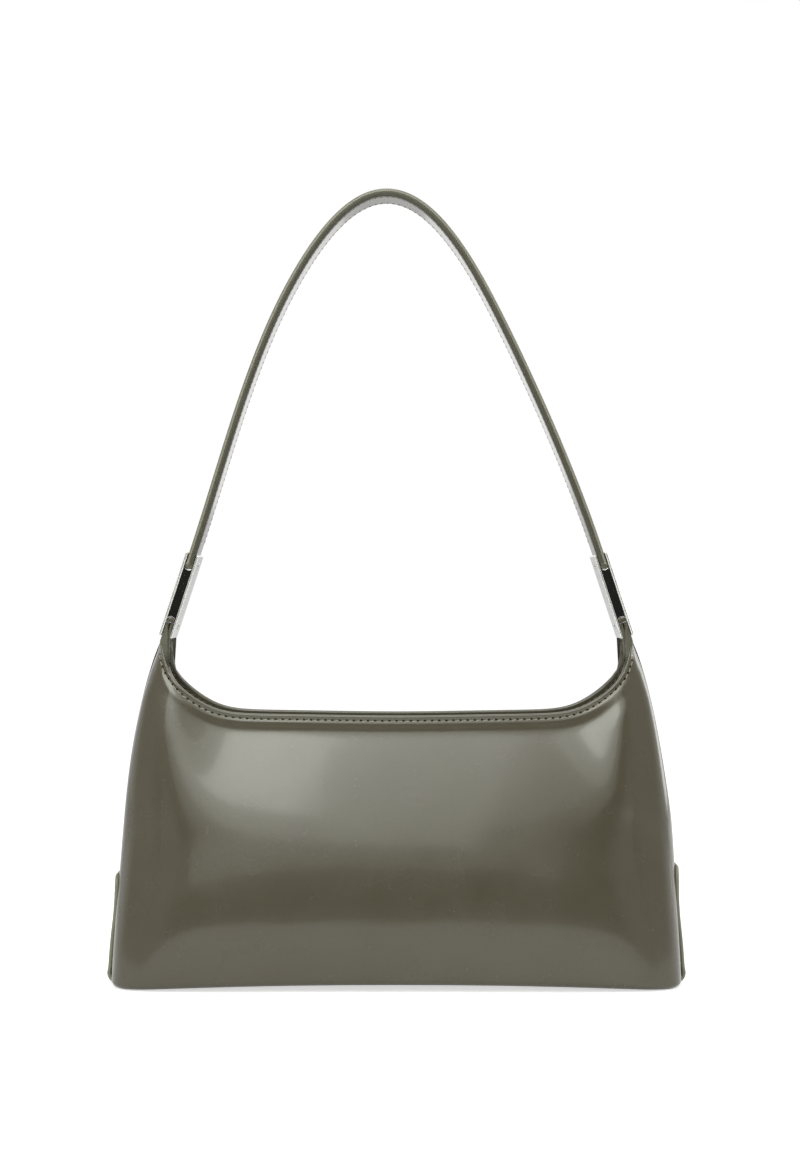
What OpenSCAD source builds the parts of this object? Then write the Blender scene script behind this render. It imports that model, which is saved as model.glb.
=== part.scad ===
// Small shoulder bag in smooth leather, with an arched strap on two metal links.
// Millimetres. +Z is up and the front faces -Y. The origin lies on the table, under the bag's middle.

/* [Body] */
// Width across the side seams at the base
body_w = 274; // [220:1:330]
// Width across the side seams at the fold line under the links
neck_w = 230; // [190:1:250]
// Depth from front to back at the base
body_d = 78; // [60:1:110]
// Outer depth at the middle of the open rim
mouth_d = 33; // [26:0.5:44]
// Depth of the ears at the fold line
neck_d = 20; // [16:0.5:26]
// Height of the rim's middle
rim_z = 129; // [110:1:138]
// Height of the upright lip along the rim
lip_h = 8; // [5:0.5:12]
// Height of the line on which the strap folds
fold_z = 163; // [158:0.5:180]
// Radius of the panels' bend into the base
base_r = 3.5; // [2.5:0.5:14]
// Width of leather turned in under the base
turn_in = 9; // [6:0.5:16]

/* [Leather and lining] */
// Thickness of the outer panels and the base leather
panel_t = 1.6; // [1.2:0.1:2.2]
// Thickness of the inner facing at the rim
facing_t = 1.6; // [1.2:0.1:2.2]
// Height of the inner facing
facing_h = 34; // [32:1:40]
// Gap between two layers
layer_gap = 0.25; // [0.2:0.05:0.4]
// Thickness of the stay between panel and facing
stay_t = 0.5; // [0.4:0.05:0.8]
// Height of the stay
stay_h = 9; // [6:0.5:10]
// Distance of the stay from the rim's edge
stay_set = 1.5; // [1:0.1:2]
// Thickness of the lining
lining_t = 0.5; // [0.3:0.05:0.7]
// Height of lining tucked behind the facing
lining_tuck = 5; // [3:0.5:6]
// Thickness of the base board
board_t = 2; // [1:0.1:3]

/* [Slip pocket] */
// Width of the pocket on the back lining
pocket_w = 120; // [60:1:140]
// Height of the pocket
pocket_h = 56; // [30:1:64]
// Distance of the pocket's open edge below the facing
pocket_drop = 7; // [2:0.5:20]

/* [Side welts] */
// Thickness of the welt between the two panels
welt_t = 1.2; // [0.8:0.1:1.8]
// Height that the welt stands out of the seam
welt_proud = 0.9; // [0.5:0.1:1.5]

/* [End patches] */
// Width of a patch from front to back
patch_w = 26; // [18:1:32]
// Thickness of a patch
patch_t = 2.5; // [2:0.1:3.5]
// Height of a patch's upper end
patch_z = 54; // [40:1:70]
// Length of a patch under the base, from the side seam
patch_under = 32; // [26:1:50]
// Slant cut off the patch's upper end
patch_slant = 2; // [1:0.1:3]
// Corner radius of the patch
patch_r = 6; // [3:0.5:8]
// Gap between a patch and the bag
seat_gap = 0.3; // [0.2:0.05:0.5]

/* [Links] */
// Height of a link's lower end above the fold line
link_rise = 3.5; // [2.5:0.1:12]
// Inward lean of a link, in degrees
link_lean = 18.2; // [10:0.1:22]
// Length of a link
link_len = 42.4; // [34:0.1:60]
// Depth of a link from front to back
link_d = 21; // [20.5:0.5:28]
// Thickness of a link's two side walls
link_wall = 1.3; // [1.2:0.1:2.5]
// Depth of the lower fork, for the ear's tab
lower_fork = 13; // [11:0.5:16]
// Depth of the upper fork, for the strap
upper_fork = 10.5; // [9:0.5:14]
// Set-back of the middle web from the walls' edges
web_set = 1.2; // [0.5:0.1:3]
// Side gap between the leather and a fork
fork_gap = 0.1; // [0.05:0.05:0.2]

/* [Screws] */
// Radius of a cross screw's shank
screw_r = 1.2; // [1:0.1:1.6]
// Radius of its flush head
head_r = 2.1; // [1.8:0.1:2.6]
// Thickness of its flush head
head_t = 0.8; // [0.6:0.1:1]
// Clearance round a screw
screw_gap = 0.05; // [0.03:0.01:0.1]

/* [Strap] */
// Width of the strap
strap_w = 20; // [16:0.5:26]
// Height of the strap's highest point
strap_z = 383.6; // [340:0.1:450]
// Thickness of each leather layer of the strap
strap_leather_t = 1.5; // [1.2:0.1:1.8]
// Thickness of the core between them
strap_core_t = 0.9; // [0.6:0.1:1.4]
// Gap between the strap's layers
strap_gap = 0.05; // [0.03:0.01:0.1]
// Sideways lean of the arch at its top
strap_shift = 4.8; // [0:0.1:10]

/* [Tabs] */
// Slit between the folded tab's two layers
tab_slit = 0.3; // [0.2:0.05:0.5]
// Gap between the leather's ends and a fork's floor
fork_seat = 0.3; // [0.2:0.05:0.6]
// Gap between the ears' tops and the folding links
fold_gap = 0.4; // [0.3:0.05:0.5]

/* [Magnetic snap] */
// Radius of each half
snap_r = 8; // [6:0.5:9]
// Thickness of each half
snap_t = 2.4; // [1.8:0.1:3]
// Radius of the stud
stud_r = 3; // [2:0.1:4]
// Height of the stud
stud_h = 1.8; // [1:0.1:2]
// Clearance of the stud in its socket
stud_gap = 0.2; // [0.1:0.05:0.4]
// Radius of a backing plate
plate_r = 7; // [5:0.5:7.5]
// Radius of the hole in a backing plate
plate_hole_r = 2; // [1:0.1:3]

/* [Hidden] */

leather = [0.36, 0.35, 0.29];
dark_edge = [0.16, 0.16, 0.13];
cloth = [0.30, 0.29, 0.26];
board = [0.45, 0.42, 0.38];
metal = [0.86, 0.85, 0.82];

// The side seam's line: a straight lean and a rounded shoulder
lean_share = 0.4;
shoulder_power = 4;
// How fast the ears widen below the fold line
ear_power = 0.62;
// How square the plan is, how much squarer at the fold line, and how much squarer on the base
square_low = 3;
square_more = 5;
square_power = 1.5;
square_foot = 3.5;
// The base's squareness fades out below this share of the fold line's height
foot_share = 0.3;
// The rim is level over this share of the front and then rises to the ears
level_share = 0.5;
rim_power = 2.4;
// The arch leans over within this share of its height
shift_share = 0.75;

// Steps of the meshes along each stretch
corner_steps = 6;
front_steps = 14;
bend_steps = 3;
wall_steps = 7;
facing_steps = 3;
stay_steps = 1;
pocket_steps = 4;
strap_steps = 48;
seam_steps = 24;
round_fn = 48;
probe_angle = 0.4;
probe_share = 0.004;

// The leather in the forks, and the forks' inner width
strap_t = 2 * strap_leather_t + strap_core_t + 2 * strap_gap;
fork_w = strap_t + 2 * fork_gap;
link_t = fork_w + 2 * link_wall;
overrun = link_t;

// The bag's base hangs just above the end patches' lower legs
base_z = patch_t + seat_gap;
wall_z = base_z + base_r;
// The ears end below the sweep of the folding links
ear_z = fold_z - max(link_d, neck_d, strap_w) / 2 - fold_gap;
rim_depth = panel_t + stay_t + facing_t + 2 * layer_gap;
facing_in = panel_t + stay_t + 2 * layer_gap;
stay_in = panel_t + layer_gap;
lining_in = panel_t + layer_gap;
pocket_in = lining_in + lining_t + layer_gap;
board_z = base_z + panel_t + layer_gap;
floor_z = board_z + board_t + layer_gap;
// The snap sits midway between the stay and the lining's upper edge
snap_drop = (stay_set + stay_h + facing_h - lining_tuck) / 2;
pocket_z = rim_z - facing_h - pocket_drop - pocket_h;

// The tabs go up from the middle of the ears' layers, and the links start above the fold line
link_x = neck_w / 2 - rim_depth / 2 - link_rise * tan(link_lean);
link_z = fold_z + link_rise;

// The strap's middle line starts at the links' upper ends
link_top_x = link_x - link_len * sin(link_lean);
link_top_z = link_z + link_len * cos(link_lean);
strap_rise = strap_z - strap_t / 2 - link_top_z;
arch_share = (2 * tan(link_lean) * strap_rise / link_top_x - 1) / 2;

// Smooth step from 0 to 1
function ease(s) = s * s * (3 - 2 * s);
function unit(v) = v / norm(v);

// Half the bag's width at a height
function half_w(z) =
    let (s = z / fold_z)
    body_w / 2 - (body_w - neck_w) / 2 * (lean_share * s + (1 - lean_share) * pow(s, shoulder_power));

// Half its depth at a height, by the side seams and in the middle
function end_half_d(z) = neck_d / 2 + (body_d - neck_d) / 2 * pow(1 - z / fold_z, ear_power);
function mid_half_d(z) =
    mouth_d / 2 + (body_d - mouth_d) / 2 * (1 - pow(min(1, z / (rim_z - lip_h)), 2));
function squareness(z) =
    let (foot = max(0, 1 - z / (foot_share * fold_z)))
    square_low + square_more * pow(z / fold_z, square_power) + square_foot * pow(foot, 2);

// Share of the way from the middle of the front to its corner, for an angle from the right seam
function front_share(a) = abs(sin(a)) < abs(cos(a)) ? 1 : abs(cos(a) / sin(a));
function end_weight(q) = (1 - cos(180 * pow(q, 3))) / 2;

// A point of the plan at a height, drawn in by an inset, on the front half
function plan(a, z, inset) =
    let (n = squareness(z))
    let (spread = pow(pow(abs(cos(a)), n) + pow(abs(sin(a)), n), -1 / n))
    let (depth = mid_half_d(z) + (end_half_d(z) - mid_half_d(z)) * end_weight(front_share(a)))
    [
        (half_w(z) - inset) * cos(a) * spread,
        -welt_t / 2 - (depth - inset - welt_t / 2) * sin(a) * spread,
        z
    ];

// Height of the rim over a point of the front
function top_z(a) =
    let (s = max(0, (front_share(a) - level_share) / (1 - level_share)))
    rim_z + (ear_z - rim_z) * pow(s, rim_power);

// The outer skin. The station v runs from 0 to 1 under the base, to 2 round the bend, to 3 at the rim
function skin(a, v) =
    v < 1 ? plan(a, base_z, base_r + turn_in * (1 - v)) :
    v < 2 ? plan(a, base_z + base_r * (1 - cos(90 * (v - 1))), base_r * (1 - sin(90 * (v - 1)))) :
    plan(a, wall_z + (v - 2) * (top_z(a) - wall_z), 0);

// The direction out of the skin
function outward(a, v) =
    let (along = skin(a + probe_angle, v) - skin(a - probe_angle, v))
    let (up = skin(a, v + probe_share) - skin(a, v - probe_share))
    unit(cross(up, along));

// A point at a depth below the skin
function layer(a, v, depth) = skin(a, v) - depth * outward(a, v);

// The station at a drop below the rim, or at a height
function drop_station(a, drop) = 3 - drop / (top_z(a) - wall_z);
function height_station(a, z) =
    z > wall_z ? 2 + (z - wall_z) / (top_z(a) - wall_z) : 1 + acos(1 - (z - base_z) / base_r) / 90;

// Angles of the columns, even along the ends and along the front
end_angles = [for (i = [0:corner_steps - 1]) atan(i / corner_steps)];
front_angles = [for (i = [0:2 * front_steps]) 90 - atan(1 - i / front_steps)];
columns = concat(
    end_angles,
    front_angles,
    [for (i = [0:corner_steps - 1]) 180 - end_angles[corner_steps - 1 - i]]
);

function steps(low, high, count) = [for (i = [0:count]) low + (high - low) * i / count];

// Two triangles for the four corners of a patch, and the faces of an open and of a closed grid
function quad(a, b, c, d) = [[a, b, c], [a, c, d]];
function flat(lists) = [for (list = lists) each list];
function grid_faces(wide, high, base) = flat([
    for (i = [0:wide - 2])
        for (j = [0:high - 2])
            let (p = base + i * high + j)
            quad(p, p + high, p + high + 1, p + 1)
]);
function reversed(faces) = [for (f = faces) [f[0], f[2], f[1]]];

// A sheet between two depths. stations holds the rows of each column
module sheet(angles, stations, near, far) {
    wide = len(angles);
    high = len(stations[0]);
    count = wide * high;
    points = [
        for (depth = [near, far])
            for (i = [0:wide - 1])
                for (v = stations[i])
                    layer(angles[i], v, depth)
    ];
    last = (wide - 1) * high;
    lower_edge = [for (i = [0:wide - 2]) let (p = i * high) quad(p + high, p, p + count, p + high + count)];
    upper_edge = [
        for (i = [0:wide - 2])
            let (p = i * high + high - 1)
            quad(p, p + high, p + high + count, p + count)
    ];
    first_edge = [for (j = [0:high - 2]) quad(j, j + 1, j + 1 + count, j + count)];
    last_edge = [
        for (j = [0:high - 2])
            let (p = last + j)
            quad(p + 1, p, p + count, p + 1 + count)
    ];
    faces = concat(
        grid_faces(wide, high, 0),
        reversed(grid_faces(wide, high, count)),
        flat(lower_edge), flat(upper_edge), flat(first_edge), flat(last_edge)
    );
    polyhedron(points, faces, convexity = 6);
}

// An outline in X and Z, as a slab across Y
module slab(width) {
    rotate([90, 0, 0])
        linear_extrude(width, center = true)
            children();
}

// The frame of the right link: its middle plane, with Z up along the link from its lower end
module at_link() {
    translate([link_x, 0, link_z])
        rotate([0, -link_lean, 0])
            children();
}

// Rows of a column beside the facing. The stay's edges are two of them, so that all layers stay parallel
function upper_rows(a) = concat(
    steps(drop_station(a, facing_h), drop_station(a, stay_set + stay_h), facing_steps),
    [drop_station(a, stay_set), 3]
);
function lower_rows(a) =
    let (top = drop_station(a, facing_h))
    concat([0], steps(1, 2, bend_steps), [for (i = [1:wall_steps - 1]) 2 + (top - 2) * i / wall_steps]);

module panel() {
    color(leather)
        sheet(columns, [for (a = columns) concat(lower_rows(a), upper_rows(a))], 0, panel_t);
}

module facing() {
    color(leather)
        sheet(columns, [for (a = columns) upper_rows(a)], facing_in, facing_in + facing_t);
}

module stay() {
    stations = [
        for (a = columns)
            steps(drop_station(a, stay_set + stay_h), drop_station(a, stay_set), stay_steps)
    ];
    color(cloth)
        sheet(columns, stations, stay_in, stay_in + stay_t);
}

// The welt fills the side seam through the panel and, beside the facing, through every layer.
// It stands out above the end patch
module side_welt() {
    low_z = base_z + base_r;
    deep_z = ear_z - facing_h + lining_tuck + layer_gap;
    proud_z = patch_z + seat_gap;
    outer = [for (z = steps(low_z, proud_z, seam_steps)) [half_w(z), z]];
    proud = [for (z = steps(proud_z, ear_z, seam_steps)) [half_w(z) + welt_proud, z]];
    deep = [for (z = steps(ear_z, deep_z, seam_steps)) [half_w(z) - rim_depth, z]];
    shallow = [for (z = steps(deep_z, low_z, seam_steps)) [half_w(z) - panel_t, z]];
    color(dark_edge)
        slab(welt_t)
            polygon(concat(outer, proud, deep, shallow));
}

// The outline of the plan at the base, drawn in by an inset
function base_outline(inset) =
    let (front = [for (a = columns) plan(a, base_z, inset)])
    concat(
        [for (p = front) [p[0], p[1]]],
        [for (i = [len(front) - 1:-1:0]) [front[i][0], -front[i][1]]]
    );

module base_panel() {
    color(leather)
        translate([0, 0, base_z])
            linear_extrude(panel_t)
                polygon(base_outline(base_r + turn_in + layer_gap));
}

module base_board() {
    color(board)
        translate([0, 0, board_z])
            linear_extrude(board_t)
                polygon(base_outline(base_r + board_t));
}

// The patch follows the side seam's line round the bend and under the base
function patch_side(offset, top) = [
    for (z = steps(wall_z, top, seam_steps))
        [half_w(z) + offset, z]
];
function patch_bend(offset) = [
    for (t = steps(-90, 0, 2 * bend_steps))
        [half_w(wall_z) - base_r + (base_r + offset) * cos(t), wall_z + (base_r + offset) * sin(t)]
];
module end_patch() {
    under_x = body_w / 2 - patch_under;
    outer = seat_gap + patch_t;
    top_low = patch_z - patch_slant;
    color(leather)
        intersection() {
            slab(patch_w)
                polygon(concat(
                    [[under_x, base_z - outer]],
                    patch_bend(outer),
                    patch_side(outer, top_low),
                    [for (i = [seam_steps:-1:0]) patch_side(seat_gap, patch_z)[i]],
                    [for (i = [2 * bend_steps:-1:0]) patch_bend(seat_gap)[i]],
                    [[under_x, base_z - seat_gap]]
                ));
            union() {
                translate([under_x, 0, patch_z - patch_r])
                    rotate([0, 90, 0])
                        for (side = [-1, 1])
                            translate([0, side * (patch_w / 2 - patch_r), 0])
                                cylinder(r = patch_r, h = body_w, $fn = round_fn);
                translate([under_x, patch_r - patch_w / 2, wall_z])
                    cube([body_w, patch_w - 2 * patch_r, patch_z]);
                translate([0, -patch_w / 2, wall_z])
                    cube([body_w, patch_w, patch_z - patch_r - wall_z]);
                for (side = [-1, 1])
                    translate([under_x + patch_r, side * (patch_w / 2 - patch_r), -overrun])
                        cylinder(r = patch_r, h = overrun + wall_z, $fn = round_fn);
                translate([under_x, patch_r - patch_w / 2, -overrun])
                    cube([body_w, patch_w - 2 * patch_r, overrun + wall_z]);
                translate([under_x + patch_r, -patch_w / 2, -overrun])
                    cube([body_w, patch_w, overrun + wall_z]);
            }
        }
}

// The lining hangs from behind the facings, beside the panels' own rows, and closes over the base board
function lining_rows(a) =
    let (top = drop_station(a, facing_h))
    concat(
        [for (i = [1:wall_steps]) 2 + (top - 2) * i / wall_steps],
        [drop_station(a, facing_h - lining_tuck)]
    );
function lining_foot(a, depth, z) =
    let (p = layer(a, height_station(a, z), depth + layer_gap))
    [p[0], p[1], z];
module lining() {
    half = len(columns);
    wide = 2 * half;
    high = wall_steps + 2;
    count = wide * high;
    far_in = lining_in + lining_t;
    near_half = flat([
        for (a = columns)
            concat([lining_foot(a, lining_in, floor_z)], [for (v = lining_rows(a)) layer(a, v, lining_in)])
    ]);
    far_half = flat([
        for (a = columns)
            concat([lining_foot(a, far_in, floor_z + lining_t)], [for (v = lining_rows(a)) layer(a, v, far_in)])
    ]);
    function round_trip(side) = concat(
        side,
        [for (i = [half - 1:-1:0]) for (j = [0:high - 1]) let (p = side[i * high + j]) [p[0], -p[1], p[2]]]
    );
    points = concat(
        round_trip(near_half),
        round_trip(far_half),
        [[0, 0, floor_z], [0, 0, floor_z + lining_t]]
    );
    near_floor = 2 * count;
    far_floor = near_floor + 1;
    ring = [for (i = [0:wide - 1]) [i * high, ((i + 1) % wide) * high]];
    walls = [
        for (i = [0:wide - 1])
            for (j = [0:high - 2])
                let (a = i * high + j)
                let (b = (i + 1) % wide * high + j)
                i < half ? quad(a, b, b + 1, a + 1) : quad(b, b + 1, a + 1, a)
    ];
    tops = [
        for (r = ring)
            let (a = r[0] + high - 1)
            let (b = r[1] + high - 1)
            quad(a, b, b + count, a + count)
    ];
    color(cloth)
        polyhedron(
            points,
            concat(
                flat(walls),
                reversed([for (f = flat(walls)) [f[0] + count, f[1] + count, f[2] + count]]),
                flat(tops),
                [for (r = ring) [r[1], r[0], near_floor]],
                [for (r = ring) [r[0] + count, r[1] + count, far_floor]]
            ),
            convexity = 6
        );
}

module slip_pocket() {
    half_share = pocket_w / (2 * half_w(pocket_z));
    angles = [for (s = steps(half_share, -half_share, 2 * pocket_steps)) 90 - atan(s)];
    rows = [
        for (a = angles)
            steps(height_station(a, pocket_z), height_station(a, pocket_z + pocket_h), pocket_steps)
    ];
    color(cloth)
        mirror([0, 1, 0])
            sheet(angles, rows, pocket_in, pocket_in + lining_t);
}

// Places children on the middle of the front's skin, at a depth, with Z into the bag
module at_snap(depth) {
    station = drop_station(90, snap_drop);
    place = layer(90, station, depth);
    out = outward(90, station);
    translate(place)
        rotate([-90 - atan2(out[2], -out[1]), 0, 0])
            children();
}

module snap_socket() {
    color(metal)
        at_snap(rim_depth + layer_gap)
            difference() {
                cylinder(r = snap_r, h = snap_t, $fn = round_fn);
                translate([0, 0, snap_t - stud_h - stud_gap])
                    cylinder(r = stud_r + stud_gap, h = snap_t, $fn = round_fn);
            }
}

module snap_stud() {
    color(metal)
        mirror([0, 1, 0])
            at_snap(rim_depth + layer_gap)
                union() {
                    cylinder(r = snap_r, h = snap_t, $fn = round_fn);
                    cylinder(r = stud_r, h = snap_t + stud_h, $fn = round_fn);
                }
}

module snap_plate() {
    at_snap(stay_in)
        difference() {
            cylinder(r = plate_r, h = stay_t, $fn = round_fn);
            translate([0, 0, -overrun])
                cylinder(r = plate_hole_r, h = 2 * overrun, $fn = round_fn);
        }
}

module snap_plates() {
    color(metal) {
        snap_plate();
        mirror([0, 1, 0])
            snap_plate();
    }
}

// A cross screw through a fork, at a height along the link
module cross_screw(height, gap) {
    translate([0, 0, height])
        rotate([0, 90, 0])
            union() {
                cylinder(r = screw_r + gap, h = link_t, center = true, $fn = round_fn);
                for (side = [-1, 1])
                    translate([0, 0, side * (link_t / 2 - head_t / 2)])
                        cylinder(r = head_r + gap, h = head_t, center = true, $fn = round_fn);
            }
}
module screw_pair(gap) {
    cross_screw(lower_fork / 2, gap);
    cross_screw(link_len - upper_fork / 2, gap);
}

// The link is two walls with round ends, joined by a web that ends in a hollow at each fork
module link_walls() {
    for (side = [-1, 1])
        translate([side * (link_t - link_wall) / 2, 0]) {
            translate([-link_wall / 2, link_wall / 2])
                square([link_wall, link_len - link_wall]);
            for (end = [link_wall / 2, link_len - link_wall / 2])
                translate([0, end])
                    circle(r = link_wall / 2, $fn = round_fn);
        }
}
module link_web() {
    difference() {
        translate([-link_t / 2 + link_wall / 2, lower_fork - fork_w / 2])
            square([link_t - link_wall, link_len - lower_fork - upper_fork + fork_w]);
        for (end = [lower_fork - fork_w / 2, link_len - upper_fork + fork_w / 2])
            translate([0, end])
                circle(r = fork_w / 2, $fn = round_fn);
    }
}
module link() {
    color(metal)
        at_link()
            difference() {
                union() {
                    slab(link_d)
                        link_walls();
                    slab(link_d - 2 * web_set)
                        link_web();
                }
                screw_pair(screw_gap);
            }
}

// The ear's tab is folded over inside the fork and ends in a half disc round the fold line
module tab_profile() {
    fold_r = strap_t / 2;
    top = lower_fork - fork_seat - fold_r;
    difference() {
        union() {
            translate([0, top])
                circle(r = fold_r, $fn = round_fn);
            translate([-fold_r, -link_d])
                square([strap_t, link_d + top]);
        }
        translate([-tab_slit / 2, -link_d - overrun])
            square([tab_slit, link_d + overrun + top]);
    }
}
module tab() {
    color(leather)
        difference() {
            intersection() {
                at_link()
                    slab(neck_d)
                        tab_profile();
                translate([0, 0, fold_z])
                    union() {
                        rotate([0, 90, 0])
                            cylinder(r = neck_d / 2, h = body_w, $fn = 2 * round_fn);
                        translate([0, -neck_d / 2, 0])
                            cube([body_w, neck_d, link_len]);
                    }
            }
            at_link()
                cross_screw(lower_fork / 2, screw_gap);
        }
}

// The strap's middle line, from the right link (1) over the top (0) to the left link (-1)
function strap_mid(p) =
    let (h = 1 - p * p)
    [
        link_top_x * (p * (1 - arch_share) + arch_share * pow(p, 3))
            - strap_shift * ease(min(1, h / shift_share)),
        link_top_z + strap_rise * h
    ];
function strap_side(p) =
    let (d = unit(strap_mid(p - probe_share) - strap_mid(p + probe_share)))
    [d[1], -d[0]];

// The middle line's points offset outward, with its straight ends in the forks
function strap_line(offset) =
    let (top = [link_top_x, link_top_z] + offset * [cos(link_lean), sin(link_lean)])
    let (end = top + (upper_fork - fork_seat) * [sin(link_lean), -cos(link_lean)])
    let (arch = [for (p = steps(1, -1, strap_steps)) if (abs(p) < 1) strap_mid(p) + offset * strap_side(p)])
    concat([end, top], arch, [[-top[0], top[1]], [-end[0], end[1]]]);

// What is cut off round a strap end, to seat it in the upper fork's hollow
module strap_end_trim() {
    middle = link_len - upper_fork + fork_seat + strap_t / 2;
    slab(strap_w + overrun)
        difference() {
            translate([-overrun, middle - overrun])
                square([2 * overrun, overrun]);
            translate([0, middle])
                circle(r = strap_t / 2, $fn = round_fn);
        }
}
module strap_layer(low, high) {
    outer = strap_line(high);
    inner = strap_line(low);
    difference() {
        slab(strap_w)
            polygon(concat(outer, [for (i = [len(inner) - 1:-1:0]) inner[i]]));
        for (turn = [0, 1])
            mirror([turn, 0, 0])
                at_link()
                    union() {
                        cross_screw(link_len - upper_fork / 2, screw_gap);
                        strap_end_trim();
                    }
    }
}
module strap_outer() {
    color(leather)
        strap_layer(strap_t / 2 - strap_leather_t, strap_t / 2);
}
module strap_core() {
    color(board)
        strap_layer(-strap_core_t / 2, strap_core_t / 2);
}
module strap_inner() {
    color(leather)
        strap_layer(-strap_t / 2, strap_leather_t - strap_t / 2);
}

module on_left() {
    mirror([1, 0, 0])
        children();
}
module at_back() {
    mirror([0, 1, 0])
        children();
}

module link_screws() {
    color(metal) {
        at_link()
            screw_pair(0);
        on_left()
            at_link()
                screw_pair(0);
    }
}

panel();  // front_panel
at_back() panel();  // back_panel
on_left() side_welt();  // left_side_welt
side_welt();  // right_side_welt
base_panel();
base_board();
on_left() end_patch();  // left_end_patch
end_patch();  // right_end_patch
facing();  // front_facing
at_back() facing();  // back_facing
stay();  // front_stay
at_back() stay();  // back_stay
lining();
slip_pocket();
snap_socket();
snap_stud();
snap_plates();
on_left() tab();  // left_tab
tab();  // right_tab
on_left() link();  // left_link
link();  // right_link
link_screws();
strap_outer();
strap_core();
strap_inner();
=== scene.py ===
import math
import bpy
import numpy as np
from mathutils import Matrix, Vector


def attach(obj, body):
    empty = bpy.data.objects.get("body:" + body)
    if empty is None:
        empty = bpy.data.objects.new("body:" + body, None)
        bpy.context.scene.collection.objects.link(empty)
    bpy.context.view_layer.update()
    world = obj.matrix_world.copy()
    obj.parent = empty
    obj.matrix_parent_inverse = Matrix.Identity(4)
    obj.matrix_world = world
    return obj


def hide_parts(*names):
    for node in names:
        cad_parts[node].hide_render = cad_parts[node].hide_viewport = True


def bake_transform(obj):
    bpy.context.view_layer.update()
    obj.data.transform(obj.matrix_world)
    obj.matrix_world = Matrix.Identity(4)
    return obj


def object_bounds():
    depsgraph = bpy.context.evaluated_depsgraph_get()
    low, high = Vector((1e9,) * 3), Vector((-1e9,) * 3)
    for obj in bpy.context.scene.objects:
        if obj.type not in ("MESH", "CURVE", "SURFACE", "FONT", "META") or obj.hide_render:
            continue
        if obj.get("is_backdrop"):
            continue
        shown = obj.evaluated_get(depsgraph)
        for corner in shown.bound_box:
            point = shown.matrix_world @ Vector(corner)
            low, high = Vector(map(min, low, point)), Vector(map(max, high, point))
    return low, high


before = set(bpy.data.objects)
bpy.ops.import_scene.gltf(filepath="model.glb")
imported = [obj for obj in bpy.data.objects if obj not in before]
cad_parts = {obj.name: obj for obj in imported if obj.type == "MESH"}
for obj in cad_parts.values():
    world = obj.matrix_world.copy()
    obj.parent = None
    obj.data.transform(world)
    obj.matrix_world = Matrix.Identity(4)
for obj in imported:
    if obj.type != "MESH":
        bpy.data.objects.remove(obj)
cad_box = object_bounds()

# Sizes in millimetres, the part's own where it has them
BODY_W, NECK_W, BODY_D, MOUTH_D, NECK_D = 274.0, 230.0, 78.0, 33.0, 20.0
RIM_Z, LIP_H, FOLD_Z = 129.0, 8.0, 163.0
BASE_R, TURN_IN, BASE_Z, WALL_Z = 3.0, 9.0, 2.8, 5.8
WELT_T, WELT_PROUD = 1.2, 0.9

# Layers of the leather at the rim: how deep each lies and how thick it is
SHELL_T, FACING_IN, FACING_H = 1.75, 2.2, 34.0
STAY_IN, STAY_T = 1.8, 0.35
SNAP_IN, SNAP_DROP = 3.97, 19.75
STITCH_D, STITCH_TOP = 2.5, 164.5

# The patches are wider than the part's, and their tops differ as in the photograph
PATCH_W, PATCH_T, PATCH_UNDER, PATCH_R, SEAT_GAP = 30.0, 2.5, 32.0, 6.0, 0.3
PATCH_TOP = {1.0: 56.0, -1.0: 52.0}

# Links: their forks are shallower than the part's, their screws sit where the part has them
LINK_LEN, LINK_D, LINK_WALL, LOWER_FORK, UPPER_FORK, WEB_SET = 42.4, 21.0, 1.3, 10.0, 8.0, 1.2
FORK_W, LINK_T, FORK_SEAT = 4.2, 6.8, 0.3
SCREWS = 6.5, 37.15
HEAD_R, SLOT_HALF = 1.95, 0.28

# The strap, and the radius of the leather's rounded ends in the forks
STRAP_W, STRAP_T, STRAP_Z, STRAP_SHIFT = 20.0, 4.0, 383.6, 4.8
STRAP_ROUND, STRAP_ROW_Y, END_R = 1.5, 7.9, 2.0

FLOOR_Z, LINING_IN, LINING_R, LINING_T = 6.9, 2.0, 5.0, 0.4
POCKET_LOW, POCKET_TOP, POCKET_HALF, POCKET_T = 32.0, 88.0, 60.0, 0.7

LEAN = math.radians(18.2)
LINK_X = NECK_W / 2 - 2.1 - 3.5 * math.tan(LEAN)
LINK_Z = FOLD_Z + 3.5
TOP_X = LINK_X - LINK_LEN * math.sin(LEAN)
TOP_Z = LINK_Z + LINK_LEN * math.cos(LEAN)
RISE = STRAP_Z - STRAP_T / 2 - TOP_Z
ARCH = (2 * math.tan(LEAN) * RISE / TOP_X - 1) / 2

# The ears end inside the links' lower forks (metres)
EAR_TOP = 173.8

# The photograph's height and its focal length in pixels, and where it was taken from (metres)
PHOTO_H, FOCAL_PX = 1156, 1897
EYE = (0.0017, -0.927, 0.195)

# Turns a place on the front into the same place on the back
BEHIND = np.array([1.0, -1.0, 1.0])


def unit(v):
    return v / np.maximum(np.linalg.norm(v, axis=-1, keepdims=True), 1e-12)


def smooth(t):
    t = np.clip(t, 0.0, 1.0)
    return t * t * (3 - 2 * t)


def lengths(line):
    """The length along a line up to each of its points."""
    return np.concatenate([[0], np.cumsum(np.linalg.norm(np.diff(line, axis=0), axis=1))])


# ---- meshes

def place(name, data):
    obj = bpy.data.objects.new(name, data)
    bpy.context.scene.collection.objects.link(obj)
    return obj


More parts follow.
